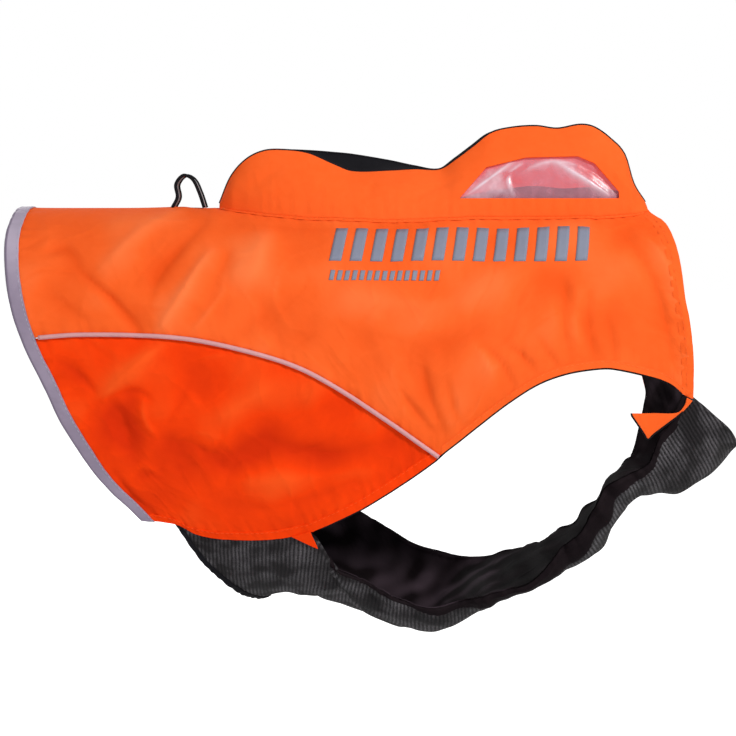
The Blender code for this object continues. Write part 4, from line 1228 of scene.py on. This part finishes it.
def build_stitches(halves, patch):
    """The stitching of the turned hems."""
    def hem_row(panel, side, width, inset, pucker):
        """A row of stitches inset from a hem's inner edge, on the hem's puckered cloth."""
        edge, inner = panel[0], panel[1]
        insets = np.array([width - inset])
        along = edge_reach(edge, side)[:, None]
        rise = HEM_RISE + pucker_height(along, insets[None] - width, *pucker) + STITCH_RISE
        return edge_strip(edge, inner, side, insets, CLOTH + rise)[:, 0]

    for side, word in ((RIGHT, "right"), (LEFT, "left")):
        hem = patch[FINE_ALONG:, -1], patch[FINE_ALONG:, -2]
        row = hem_row(hem, side, SIDE_HEM_WIDTH, 1.2, HEM_PUCKER)
        stitch_piece(f"side_hem_stitches_{word}", [row], THREAD_RED)
    rows = []
    first = PIPING_COLUMNS * FINE_ALONG + 1
    for side in (RIGHT, LEFT):
        half = halves[side]
        leg, neck = (half[first:, -1], half[first:, -2]), (half[-1, 1:], half[-2, 1:])
        rows.append(hem_row(leg, side, LEG_HEM_WIDTH, 1.2, HEM_PUCKER))
        rows.append(hem_row(neck, side, NECK_HEM_WIDTH, 4.2, NECK_PUCKER))
        x = np.linspace(POCKET[0].x, POCKET[-1].x - 3.0, 150)
        rows.append(pocket_seam(x, np.array([POCKET_SEAM_WIDTH - 1.3]), side, 0.9)[:, 0])
    stitch_piece("back_panel_stitches", rows, THREAD_ORANGE)


# ---------------------------------------------------------------- reflective marks

def build_marks():
    """The plain reflective bars on each flank."""
    for side, word in ((RIGHT, "right"), (LEFT, "left")):
        bm = bmesh.new()
        for row in MARK_ROWS:
            for k in range(row.count):
                left_x = row.first_x + k * row.pitch
                x = left_x + np.linspace(0.0, row.width, 5)[:, None]
                z = row.low_z + np.linspace(0.0, row.height, 8)[None, :]
                x = x + row.slant * (z - row.low_z) / row.height
                grid = skin(places_on(np.stack([x, z + 0 * x], axis=-1)), side, CLOTH + MARK_LIFT)
                grid = grid[:, ::-1] if side == LEFT else grid
                cloth_grid(grid, bm=bm)
        piece = finish_piece(f"reflective_bars_{word}", bm, [PRINT_GREY], [])
        add_wall_thickness(piece, MARK_CLOTH, edge=0)


# ---------------------------------------------------------------- belly

def belly_edge(side, patch, halves):
    """The belly panel's edge on one side at the model's own columns, as side-view points."""
    name = "right" if side == RIGHT else "left"
    count = (len(BELLY) - 1) * BELLY_COLUMNS_PER_ROW
    column = np.arange(count + 1)
    keys = np.arange(len(BELLY)) * BELLY_COLUMNS_PER_ROW
    points = np.stack([
        smooth(keys, [getattr(row, f"{name}_{axis}") for row in BELLY], column) for axis in "xz"
    ], axis=-1)
    hem = patch[BELLY_FIRST_HEM_COLUMN:HEM_COLUMNS * FINE_ALONG + 1, -1]
    hem = spread(hem, BELLY_FREE_COLUMN)
    hem_z = bare_skin(hem[:, 0], hem[:, 1], LEFT)[:, 2]
    points[:len(hem)] = np.stack([hem[:, 0], hem_z - SEAM_GAP], axis=-1)
    corner = halves[side][[-1 - FINE_ALONG, -1], -1]
    corner_z = bare_skin(corner[:, 0], corner[:, 1], LEFT)[:, 2]
    points[-2:] = np.stack([corner[:, 0], corner_z - SEAM_GAP - 0.1], axis=-1)
    return points


def gather_height(column):
    """How far the elastic's waves push the belly panel out at one line across it."""
    height = np.zeros_like(column)
    for gather in GATHERS:
        share = (column - gather.first) / (gather.last - gather.first)
        wave = np.sin(2 * math.pi * gather.waves * share) * np.sin(math.pi * share)
        height += np.where((share > 0) & (share < 1), gather.height * wave, 0.0)
    return height


def eased(rows, passes):
    """Directions smoothed along the belly panel."""
    for _ in range(passes):
        rows = np.concatenate([rows[:1], (rows[:-2] + 2 * rows[1:-1] + rows[2:]) / 4, rows[-1:]])
    return unit(rows)


def belly_grid(patch, halves):
    """Inside points of the belly panel, its outward directions and its leg-hole nearness."""
    count = (len(BELLY) - 1) * BELLY_COLUMNS_PER_ROW
    column = np.linspace(0, count, count * BELLY_FINE_ALONG + 1)
    keys = np.arange(len(BELLY)) * BELLY_COLUMNS_PER_ROW
    keel_x, keel_z, bow = [
        smooth(keys, [getattr(row, name) for row in BELLY], column)
        for name in ("keel_x", "keel_z", "bow")
    ]
    turn = math.pi / 2 * np.linspace(0.0, 1.0, BELLY_FINE_STEPS + 1) ** BELLY_STEP_SPREAD
    out, down = np.cos(turn), np.sin(turn)
    reach = (out ** BELLY_FULLNESS + down ** BELLY_FULLNESS) ** (-1 / BELLY_FULLNESS)
    share, width = reach * down, reach * out
    halves_of_belly = []
    for side in (RIGHT, LEFT):
        edge = belly_edge(side, patch, halves)
        line = np.stack([smooth(np.arange(count + 1), edge[:, k], column) for k in range(2)], axis=-1)
        point = skin(places_on(line), side, 0.0)
        x = point[:, :1] + (keel_x[:, None] - point[:, :1]) * share
        x += bow[:, None] * np.sin(math.pi * share)
        z = point[:, 2:] + (keel_z[:, None] - point[:, 2:]) * share
        halves_of_belly.append(np.stack([x, point[:, 1:2] * width, z], axis=-1))
    right, left = halves_of_belly
    points = np.concatenate([right, left[:, -2::-1]], axis=1)
    along, across = np.gradient(points, axis=0), np.gradient(points, axis=1)
    normals = eased(unit(np.cross(across, along)), 6)
    both = np.concatenate([turn, turn[-2::-1]])
    height = gather_height(column)[:, None] * np.cos(2 * both)
    flat = laid_flat(points)[..., 1]
    free = np.clip((column - BELLY_FREE_COLUMN - 1.5) / 3.0, 0, 1)
    free = free * np.clip((count - 1 - column) / 2.5, 0, 1)
    roll = np.zeros_like(flat)
    for away, edge, start in ((flat, points[:, 0], 0.0), (flat[:, -1:] - flat, points[:, -1], 1.9)):
        reach = reach_along(edge)[:, None]
        calm = 1.0 if start == 0.0 else 0.5
        for pitch, rise, fade in BELLY_EDGE_WAVES:
            wave = np.sin(2 * math.pi * reach / pitch + 2.2 * np.sin(reach / (pitch * 1.3)) + start)
            uneven = 0.55 + 0.45 * np.sin(reach / 13.0 + start)
            height += free[:, None] * calm * rise * uneven * wave * np.exp(-away / fade)
        roll += free[:, None] * EDGE_ROLL * np.exp(-((away - 2.4) / 2.0) ** 2)
    sewn = np.clip(np.minimum(flat, flat[:, -1:] - flat) / 12.0, 0.0, 1.0)
    height += sewn * crease_height(points[..., 0], points[..., 2], BELLY_CREASES)
    slack = sum(rise * np.sin(2 * math.pi * (points[..., 0] * math.cos(math.radians(degrees))
                                             + flat * math.sin(math.radians(degrees))) / pitch + at)
                for degrees, pitch, rise, at in SLACK_WAVES)
    height += sewn * SLACK_SHARE * slack
    width = smooth([row.column for row in FACING], [row.width for row in FACING], column)[:, None]
    width = width * (1 + 0.16 * np.sin(reach_along(points[:, 0]) / 6.5))[:, None]
    free_now = (column > BELLY_FREE_COLUMN)[:, None]
    beside_folds = (column < LEFT_FOLD_COLUMNS[0]) | (column > LEFT_FOLD_COLUMNS[1])
    left_faced = (flat[:, -1:] - flat < FACING[0].width) & beside_folds[:, None]
    near_hole = ((flat < width) | left_faced) & free_now
    past = flat - width
    rim = np.exp(-((past - RIM_MIDDLE) / RIM_HALF_WIDTH) ** 2) * (width > RIM_FROM_WIDTH)
    return points + normals * height[..., None], normals, roll, near_hole, RIM_TONE * rim


def rib_place(points):
    """How far along the belly each point lies, measured square to the ribs."""
    axis = spread(RIB_AXIS, 160)
    reach = reach_along(axis)
    side_view = points[..., [0, 2]].reshape(-1, 2)
    place = np.empty(len(side_view))
    ahead = unit(np.gradient(axis, axis=0))
    for first in range(0, len(side_view), 4000):
        part = side_view[first:first + 4000]
        away = part[:, None] - axis[None]
        nearest = np.argmin((away ** 2).sum(-1), axis=1)
        picked = away[np.arange(len(part)), nearest]
        place[first:first + 4000] = reach[nearest] + (picked * ahead[nearest]).sum(-1)
    return place.reshape(points.shape[:2])


def mark_faces(bm, marked, finish_index):
    """Give the faces whose corners are all marked another finish."""
    marked = marked.transpose(1, 0).reshape(-1)
    bm.verts.index_update()
    for face in bm.faces:
        if all(marked[vert.index] for vert in face.verts):
            face.material_index = finish_index


def build_belly(patch, halves):
    """The ribbed belly panel, its satin inside and the binding on its rear edge."""
    points, normals, roll, near_hole, rim = belly_grid(patch, halves)
    flat = laid_flat(points)
    flat[..., 0] = rib_place(points)
    outer = points + normals * (CLOTH + roll)[..., None]
    bm = cloth_grid(outer[:, ::-1], flat[:, ::-1])
    mark_faces(bm, near_hole[:, ::-1], 1)
    ribbed_panel = finish_piece("belly_ribbed_cloth", bm, [RIBBED, SATIN],
                                ["belly_panel"], rim[:, ::-1])
    add_wall_thickness(ribbed_panel, CLOTH, edge=0)
    inner = points - normals * (SEAM_GAP + roll)[..., None]
    column = np.linspace(0, (len(BELLY) - 1) * BELLY_COLUMNS_PER_ROW, len(points))
    # Painted highlight and painted shade on the satin, by line across it and in random patches.
    sheen = smooth([row.column for row in PAINTED_SATIN_LIGHT], [row.tone for row in PAINTED_SATIN_LIGHT], column)
    mottle = 0.35 * crumple_field(points[..., 0], flat[..., 1], 34.0, 7)
    lining = finish_piece("belly_satin_lining", cloth_grid(inner[:, ::-1]), [SATIN],
                          ["belly_lining"],
                          np.clip(sheen[:, None] + mottle, -1.0, 1.0)[:, ::-1])
    add_wall_thickness(lining, LINING, edge=0)
    half = BINDING_CLOTH + (CLOTH + LINING + SEAM_GAP) / 2 + 0.2
    inset, level = folded_section(BELLY_BINDING_WIDTH, half, 0.9)
    level = level + (CLOTH - LINING - SEAM_GAP) / 2
    ahead = unit(points[2 * BELLY_FINE_ALONG] - points[0])
    reach = reach_along(points[0])[:, None]
    crinkle = 0.5 * np.sin(2 * math.pi * reach / 9.0 + 1.6 * np.sin(reach / 7.0))
    ring = (points[0][:, None] + ahead[:, None] * inset[None, :, None]
            + normals[0][:, None] * (level[None] + crinkle)[..., None])
    binding = finish_piece("belly_binding_tape", cloth_grid(ring[:, ::-1]), [TRIM_BLACK],
                           ["belly_binding"])
    add_wall_thickness(binding, BINDING_CLOTH, edge=0.2)
    return points, normals


# ---------------------------------------------------------------- tabs

def tab_grid(corners, cuts=12):
    """Places inside a three-cornered tab, from its point to its base."""
    a, b, c = (np.asarray(p, float) for p in corners)
    u = np.linspace(0.0, 1.0, cuts + 1)[:, None, None]
    v = np.linspace(0.03, 1.0, cuts + 1)[None, :, None]
    return c + v * ((1 - u) * a + u * b - c)


def between(grid, column, step):
    """Values between a grid's points, at fractional columns and steps."""
    c = np.minimum(column.astype(int), grid.shape[0] - 2)
    s = np.minimum(step.astype(int), grid.shape[1] - 2)
    u, v = (column - c)[..., None], (step - s)[..., None]
    near = grid[c, s] * (1 - v) + grid[c, s + 1] * v
    far = grid[c + 1, s] * (1 - v) + grid[c + 1, s + 1] * v
    return near * (1 - u) + far * u


def build_tabs(points, normals):
    """The four corner tabs."""
    for side, word in ((RIGHT, "right"), (LEFT, "left")):
        grid = skin(places_on(tab_grid(REAR_TAB)), side, TAB_LIFT)
        grid = grid[:, ::-1] if side == LEFT else grid
        piece = finish_piece(f"rear_tab_{word}_cloth", cloth_grid(grid), [RED_ORANGE],
                             [f"rear_tab_{word}"])
        add_wall_thickness(piece, TAB_CLOTH)
    upper, lower = spread(FRONT_TAB_UPPER, 30), spread(FRONT_TAB_LOWER, 30)
    lower[:, 1] -= RIGHT_TAB_DROP
    share = np.linspace(0.0, 1.0, 9)[None, :, None]
    grid = lower[:, None] + (upper - lower)[:, None] * share
    along = np.linspace(0.0, 1.0, len(grid))[:, None]
    curl = RIGHT_TAB_CURL * np.sin(math.pi * along) * (1 - share[..., 0])
    points_of_tab = skin(places_on(grid), RIGHT, RIGHT_TAB_LIFT + curl)
    piece = finish_piece("front_tab_right_cloth", cloth_grid(points_of_tab), [LIGHT_ORANGE],
                         ["front_tab_right"])
    add_wall_thickness(piece, TAB_CLOTH)
    edge = np.concatenate([points_of_tab[:1, ::-1].reshape(-1, 3), points_of_tab[1:26, 0]])
    finish_piece("front_tab_right_edge", tube(edge, TAB_EDGE_RADIUS, 8), [TRIM_BLACK],
                 [])
    spots = tab_grid(LEFT_FRONT_TAB)
    column = spots[..., 0] * BELLY_FINE_ALONG
    step = spots[..., 1] / MODEL_BELLY_STEPS * (points.shape[1] - 1)
    grid = between(points, column, step) + unit(between(normals, column, step)) * TAB_LIFT
    piece = finish_piece("front_tab_left_cloth", cloth_grid(grid), [LIGHT_ORANGE],
                         ["front_tab_left"])
    add_wall_thickness(piece, TAB_CLOTH)


# ---------------------------------------------------------------- pocket

def pocket_row(x):
    """The pocket table's columns at x."""
    knots = [row.x for row in POCKET]
    return [smooth(knots, [getattr(row, name) for row in POCKET], x)
            for name in PocketRow._fields[1:]]


def pocket_seam(x, insets, side, lift):
    """Points beside the pocket's base seam, set out from it."""
    seam_half_width = pocket_row(x)[0]
    x = x[:, None] + 0 * insets[None]
    places = np.stack([x, angle_beside(x, seam_half_width[:, None] + insets[None])], axis=-1)
    return skin(places, side, CLOTH + lift)


def pocket_points(x, share, side, lift):
    """Points up the pocket wall, from its seam (0) to its ridge (1)."""
    seam_half_width, right_z, left_z = pocket_row(x)
    ridge_z = right_z if side == RIGHT else left_z
    x = x + 0 * share
    foot = np.stack([x[:, :1], angle_beside(x[:, :1], seam_half_width)], axis=-1)
    seam = skin(foot, side, CLOTH + 0.1)
    narrow = np.clip(ridge_z / POCKET_RIDGE_NARROWS_BELOW, 0.0, 1.0)
    ridge_y = side * POCKET_TOP_HALF_WIDTH * (0.35 + 0.65 * narrow)
    ridge = np.stack([x, ridge_y + 0 * share, ridge_z + 0 * share], axis=-1)
    out = unit(np.array([0.0, side, 0.35]))
    bulge = POCKET_BULGE * np.sin(math.pi * share) * np.minimum(ridge_z / 30.0, 1.0)
    z = seam[..., 2] + (ridge_z - seam[..., 2]) * share
    inner = np.sin(math.pi * np.clip(share, 0.0, 1.0))
    bulge = bulge + inner * crease_height(x, z, POCKET_CREASES)
    bulge = bulge + pucker_height(x, share * 40.0, *POCKET_WALL_PUCKER) * np.sqrt(inner)
    return seam + (ridge - seam) * share[..., None] + out * (bulge + lift)[..., None]


def build_pocket():
    """The pocket on the back: two orange walls, black top and piped ridge, clear window."""
    x = np.linspace(POCKET[0].x, POCKET[-1].x, POCKET_COLUMNS + 1)[:, None]
    share = np.linspace(0.0, 1.0, POCKET_ROWS + 1)[None, :] + 0 * x
    for side, word in ((RIGHT, "right"), (LEFT, "left")):
        points = pocket_points(x, share, side, POCKET_CLOTH)
        points = points[:, ::-1] if side == LEFT else points
        bm = cloth_grid(points)
        if side == RIGHT:
            cut_window(bm)
        wall = finish_piece(f"pocket_wall_{word}_cloth", bm, [LIGHT_ORANGE, POCKET_INSIDE],
                            [f"pocket_wall_{word}"])
        add_wall_thickness(wall, POCKET_CLOTH, inner_finish=True)
        insets = np.concatenate([[-0.8], np.linspace(0.2, POCKET_SEAM_WIDTH, 5)])
        seam = pocket_seam(x[:-2, 0], insets, side, 0.75)
        fold_strip(f"pocket_seam_{word}", facing_out(seam, side), LIGHT_ORANGE)
    ends = [pocket_points(x, 1.0 + 0 * x, side, 0 * x)[:, 0] for side in (RIGHT, LEFT)]
    shares = np.linspace(0.0, 1.0, 13)[None, :, None]
    strip = ends[0][:, None] + (ends[1] - ends[0])[:, None] * shares
    ruck = np.sin(x / 7.0 + 1.5 * np.sin(x / 19.0)) * np.sin(math.pi * shares[..., 0]) ** 2
    strip[..., 2] += 0.7 * ruck - 1.5 * np.sin(math.pi * shares[..., 0])
    top = finish_piece("pocket_top_cloth", cloth_grid(strip), [TRIM_BLACK],
                       ["pocket_top"])
    add_wall_thickness(top, POCKET_CLOTH)
    for side, word in ((RIGHT, "right"), (LEFT, "left")):
        edge = pocket_points(x, 1.0 + 0 * x, side, POCKET_CLOTH / 2 + 0 * x)[:, 0]
        finish_piece(f"pocket_edge_{word}_cord", tube(edge, POCKET_EDGE_RADIUS, 8), [TRIM_BLACK],
                     [])
    build_window()
    x = np.linspace(WINDOW[0][0] - 6.0, WINDOW[-1][0] + 4.0, 60)[:, None]
    share = np.linspace(0.05, 1.0, 9)[None, :] * (BAND_SHARE + 0.012 * np.sin(x / 11.0))
    band = pocket_points(x, share, RIGHT, -BAND_DEPTH + 0.4 * np.sin(x / 8.0) + 0 * share)
    piece = finish_piece("pocket_inner_band", cloth_grid(band), [POCKET_GREY], [])
    add_wall_thickness(piece, POCKET_CLOTH)


def cut_window(bm):
    """Cut the window's hole through the wall along the window's sides."""
    corners = [Vector((x, 0.0, z)) * MM for x, z in WINDOW]
    for a, b in zip(corners, corners[1:] + corners[:1]):
        across = Vector((b.z - a.z, 0.0, a.x - b.x)).normalized()
        bmesh.ops.bisect_plane(bm, geom=bm.verts[:] + bm.edges[:] + bm.faces[:], dist=1e-7,
                               plane_co=a, plane_no=across)
    clockwise = (corners[1] - corners[0]).cross(corners[2] - corners[1]).y
    hole = []
    for face in bm.faces:
        middle = face.calc_center_median()
        middle.y = 0.0
        turns = [(b - a).cross(middle - a).y * clockwise
                 for a, b in zip(corners, corners[1:] + corners[:1])]
        if min(turns) > 0:
            hole.append(face)
    bmesh.ops.delete(bm, geom=hole, context="FACES")


def build_window():
    """The clear film behind the window's hole."""
    corners = np.array(WINDOW, float)
    x = np.linspace(corners[0, 0] - WINDOW_OVERLAP, corners[-1, 0] + WINDOW_OVERLAP, 81)[:, None]
    inside = np.clip(x, corners[0, 0], corners[-2, 0])
    top = smooth(corners[:-1, 0], corners[:-1, 1], inside) + WINDOW_OVERLAP
    bottom = 0 * x + corners[0, 1] - WINDOW_OVERLAP
    height = bottom + (np.maximum(top, bottom + 2.0) - bottom) * np.linspace(0.0, 1.0, 33)[None, :]
    low = np.zeros_like(height)
    wall = lambda share: pocket_points(x, share, RIGHT, 0 * share)[..., 2] >= height
    share = first_past(low, low + 1.0, wall)
    wrinkle = crease_height(x + 0 * height, height, WINDOW_CREASES)
    points = pocket_points(x, share, RIGHT, -FILM_DEPTH + wrinkle)
    # Painted highlights along the ridges of the film's wrinkles.
    tone = np.clip(wrinkle / 1.2, 0.0, 1.0)
    film = finish_piece("pocket_window_film", cloth_grid(points), [WINDOW_FILM_FINISH],
                        ["pocket_window"], tone)
    add_wall_thickness(film, WINDOW_FILM, edge=0)


# ---------------------------------------------------------------- loop on the spine

def build_loop():
    """The small standing loop: a clear band with a black cord along each edge."""
    arch = spread(LOOP_ARCH, 48)
    y = np.linspace(-LOOP_HALF_WIDTH, LOOP_HALF_WIDTH, 9)
    band = np.stack([arch[:, :1] + 0 * y, 0 * arch[:, :1] + y, arch[:, 1:] + 0 * y], axis=-1)
    film = finish_piece("loop_band_film", cloth_grid(band), [LOOP_FILM_FINISH],
                        ["loop_band"])
    add_wall_thickness(film, LOOP_FILM, edge=0)
    for side, word in ((RIGHT, "right"), (LEFT, "left")):
        away = side * (LOOP_HALF_WIDTH + LOOP_CORD_RADIUS * 0.8)
        path = np.stack([arch[:, 0], 0 * arch[:, 0] + away, arch[:, 1]], axis=-1)
        finish_piece(f"loop_edge_{word}_cord", tube(path, LOOP_CORD_RADIUS, 10), [TRIM_BLACK],
                     [f"loop_edge_{word}"])


# ---------------------------------------------------------------- room, light and camera

def seen_or_lit(tree, seen, lit):
    """White to the camera, and a dimmer white to everything else."""
    path = tree.nodes.new("ShaderNodeLightPath")
    return math_node(tree, "MULTIPLY_ADD", path.outputs["Is Camera Ray"], seen - lit, lit)


def build_room():
    """A plain pale floor under a white room."""
    bm = bmesh.new()
    bmesh.ops.create_circle(bm, cap_ends=True, segments=64, radius=FLOOR_RADIUS)
    bmesh.ops.translate(bm, vec=(0.0, 0.0, FLOOR_Z), verts=bm.verts)
    mesh = bpy.data.meshes.new("floor")
    bm.to_mesh(mesh)
    bm.free()
    floor = bpy.data.objects.new("floor", mesh)
    bpy.context.scene.collection.objects.link(floor)
    made, tree, shader = new_material("pale floor")
    shader.inputs["Base Color"].default_value = (0.8, 0.8, 0.8, 1.0)
    shader.inputs["Roughness"].default_value = 0.9
    shader.inputs["Emission Color"].default_value = (1.0, 1.0, 1.0, 1.0)
    tree.links.new(seen_or_lit(tree, FLOOR_GLOW, 0.0), shader.inputs["Emission Strength"])
    mesh.materials.append(made)
    world = bpy.data.worlds.new("white room")
    bpy.context.scene.world = world
    world.use_nodes = True
    tree = world.node_tree
    background = tree.nodes["Background"]
    background.inputs["Color"].default_value = (1.0, 1.0, 1.0, 1.0)
    tree.links.new(seen_or_lit(tree, 1.0, ROOM_LIGHT), background.inputs["Strength"])


Lamp = namedtuple("Lamp", "name place aim size power colour")
LAMPS = [
    Lamp("key lamp", (1.2, -1.25, 1.15), (0.0, 0.0, -0.1), 0.36, 34.0, (1.0, 0.99, 0.97)),
    Lamp("fill lamp", (-1.1, -1.5, -0.2), (0.0, 0.0, -0.2), 0.9, 6.5, (0.97, 0.98, 1.0)),
    Lamp("back lamp", (-1.2, 1.7, 0.7), (0.0, 0.0, -0.15), 1.2, 16.0, (1.0, 1.0, 1.0)),
]


def aim(thing, place, at):
    """Put a lamp or the camera at a place, looking at another."""
    place, at = Vector(place), Vector(at)
    thing.location = place
    thing.rotation_mode = "QUATERNION"
    thing.rotation_quaternion = (at - place).to_track_quat("-Z", "Y")


def build_lamps():
    """Soft studio lamps."""
    for lamp in LAMPS:
        data = bpy.data.lights.new(lamp.name, "AREA")
        data.shape = "DISK"
        data.size = lamp.size
        data.energy = lamp.power
        data.color = lamp.colour
        thing = bpy.data.objects.new(lamp.name, data)
        bpy.context.scene.collection.objects.link(thing)
        aim(thing, lamp.place, lamp.aim)


FLOOR_RADIUS = 9.0
FLOOR_Z = -0.56
FLOOR_GLOW = 0.85
ROOM_LIGHT = 0.3

CAMERA_PLACE = (0.0272, -1.1924, 0.003)
CAMERA_TILT = math.radians(6.197)
SENSOR_WIDTH = 36.0
PHOTO_FOCAL_PIXELS = 1492.0
PHOTO_PIXELS = 736.0
CAMERA_LENS = SENSOR_WIDTH * PHOTO_FOCAL_PIXELS / PHOTO_PIXELS


def build_camera():
    """The photograph's viewpoint: level with the back, looking slightly down."""
    data = bpy.data.cameras.new("camera")
    data.sensor_width = SENSOR_WIDTH
    data.lens = CAMERA_LENS
    camera = bpy.data.objects.new("camera", data)
    bpy.context.scene.collection.objects.link(camera)
    ahead = Vector((0.0, math.cos(CAMERA_TILT), -math.sin(CAMERA_TILT)))
    aim(camera, CAMERA_PLACE, Vector(CAMERA_PLACE) + ahead)
    bpy.context.scene.camera = camera
    bpy.context.scene.view_settings.view_transform = "Standard"


# ---------------------------------------------------------------- everything

# The flat size that each sheet is cut to, in millimetres and square millimetres.
Cut = namedtuple("Cut", "piece width length area held extras")


def build_vest():
    """Every piece of the vest."""
    halves = {side: back_half(side) for side in (RIGHT, LEFT)}
    patch = side_patch()
    build_back_panel(halves)
    build_side_panels(patch)
    build_hem_folds(halves, patch)
    build_hem_binding(halves, patch)
    build_pipings()
    build_leg_edgings(halves, patch)
    build_stitches(halves, patch)
    build_marks()
    build_tabs(*build_belly(patch, halves))
    build_pocket()
    build_loop()


build_camera()
build_room()
build_lamps()
build_vest()
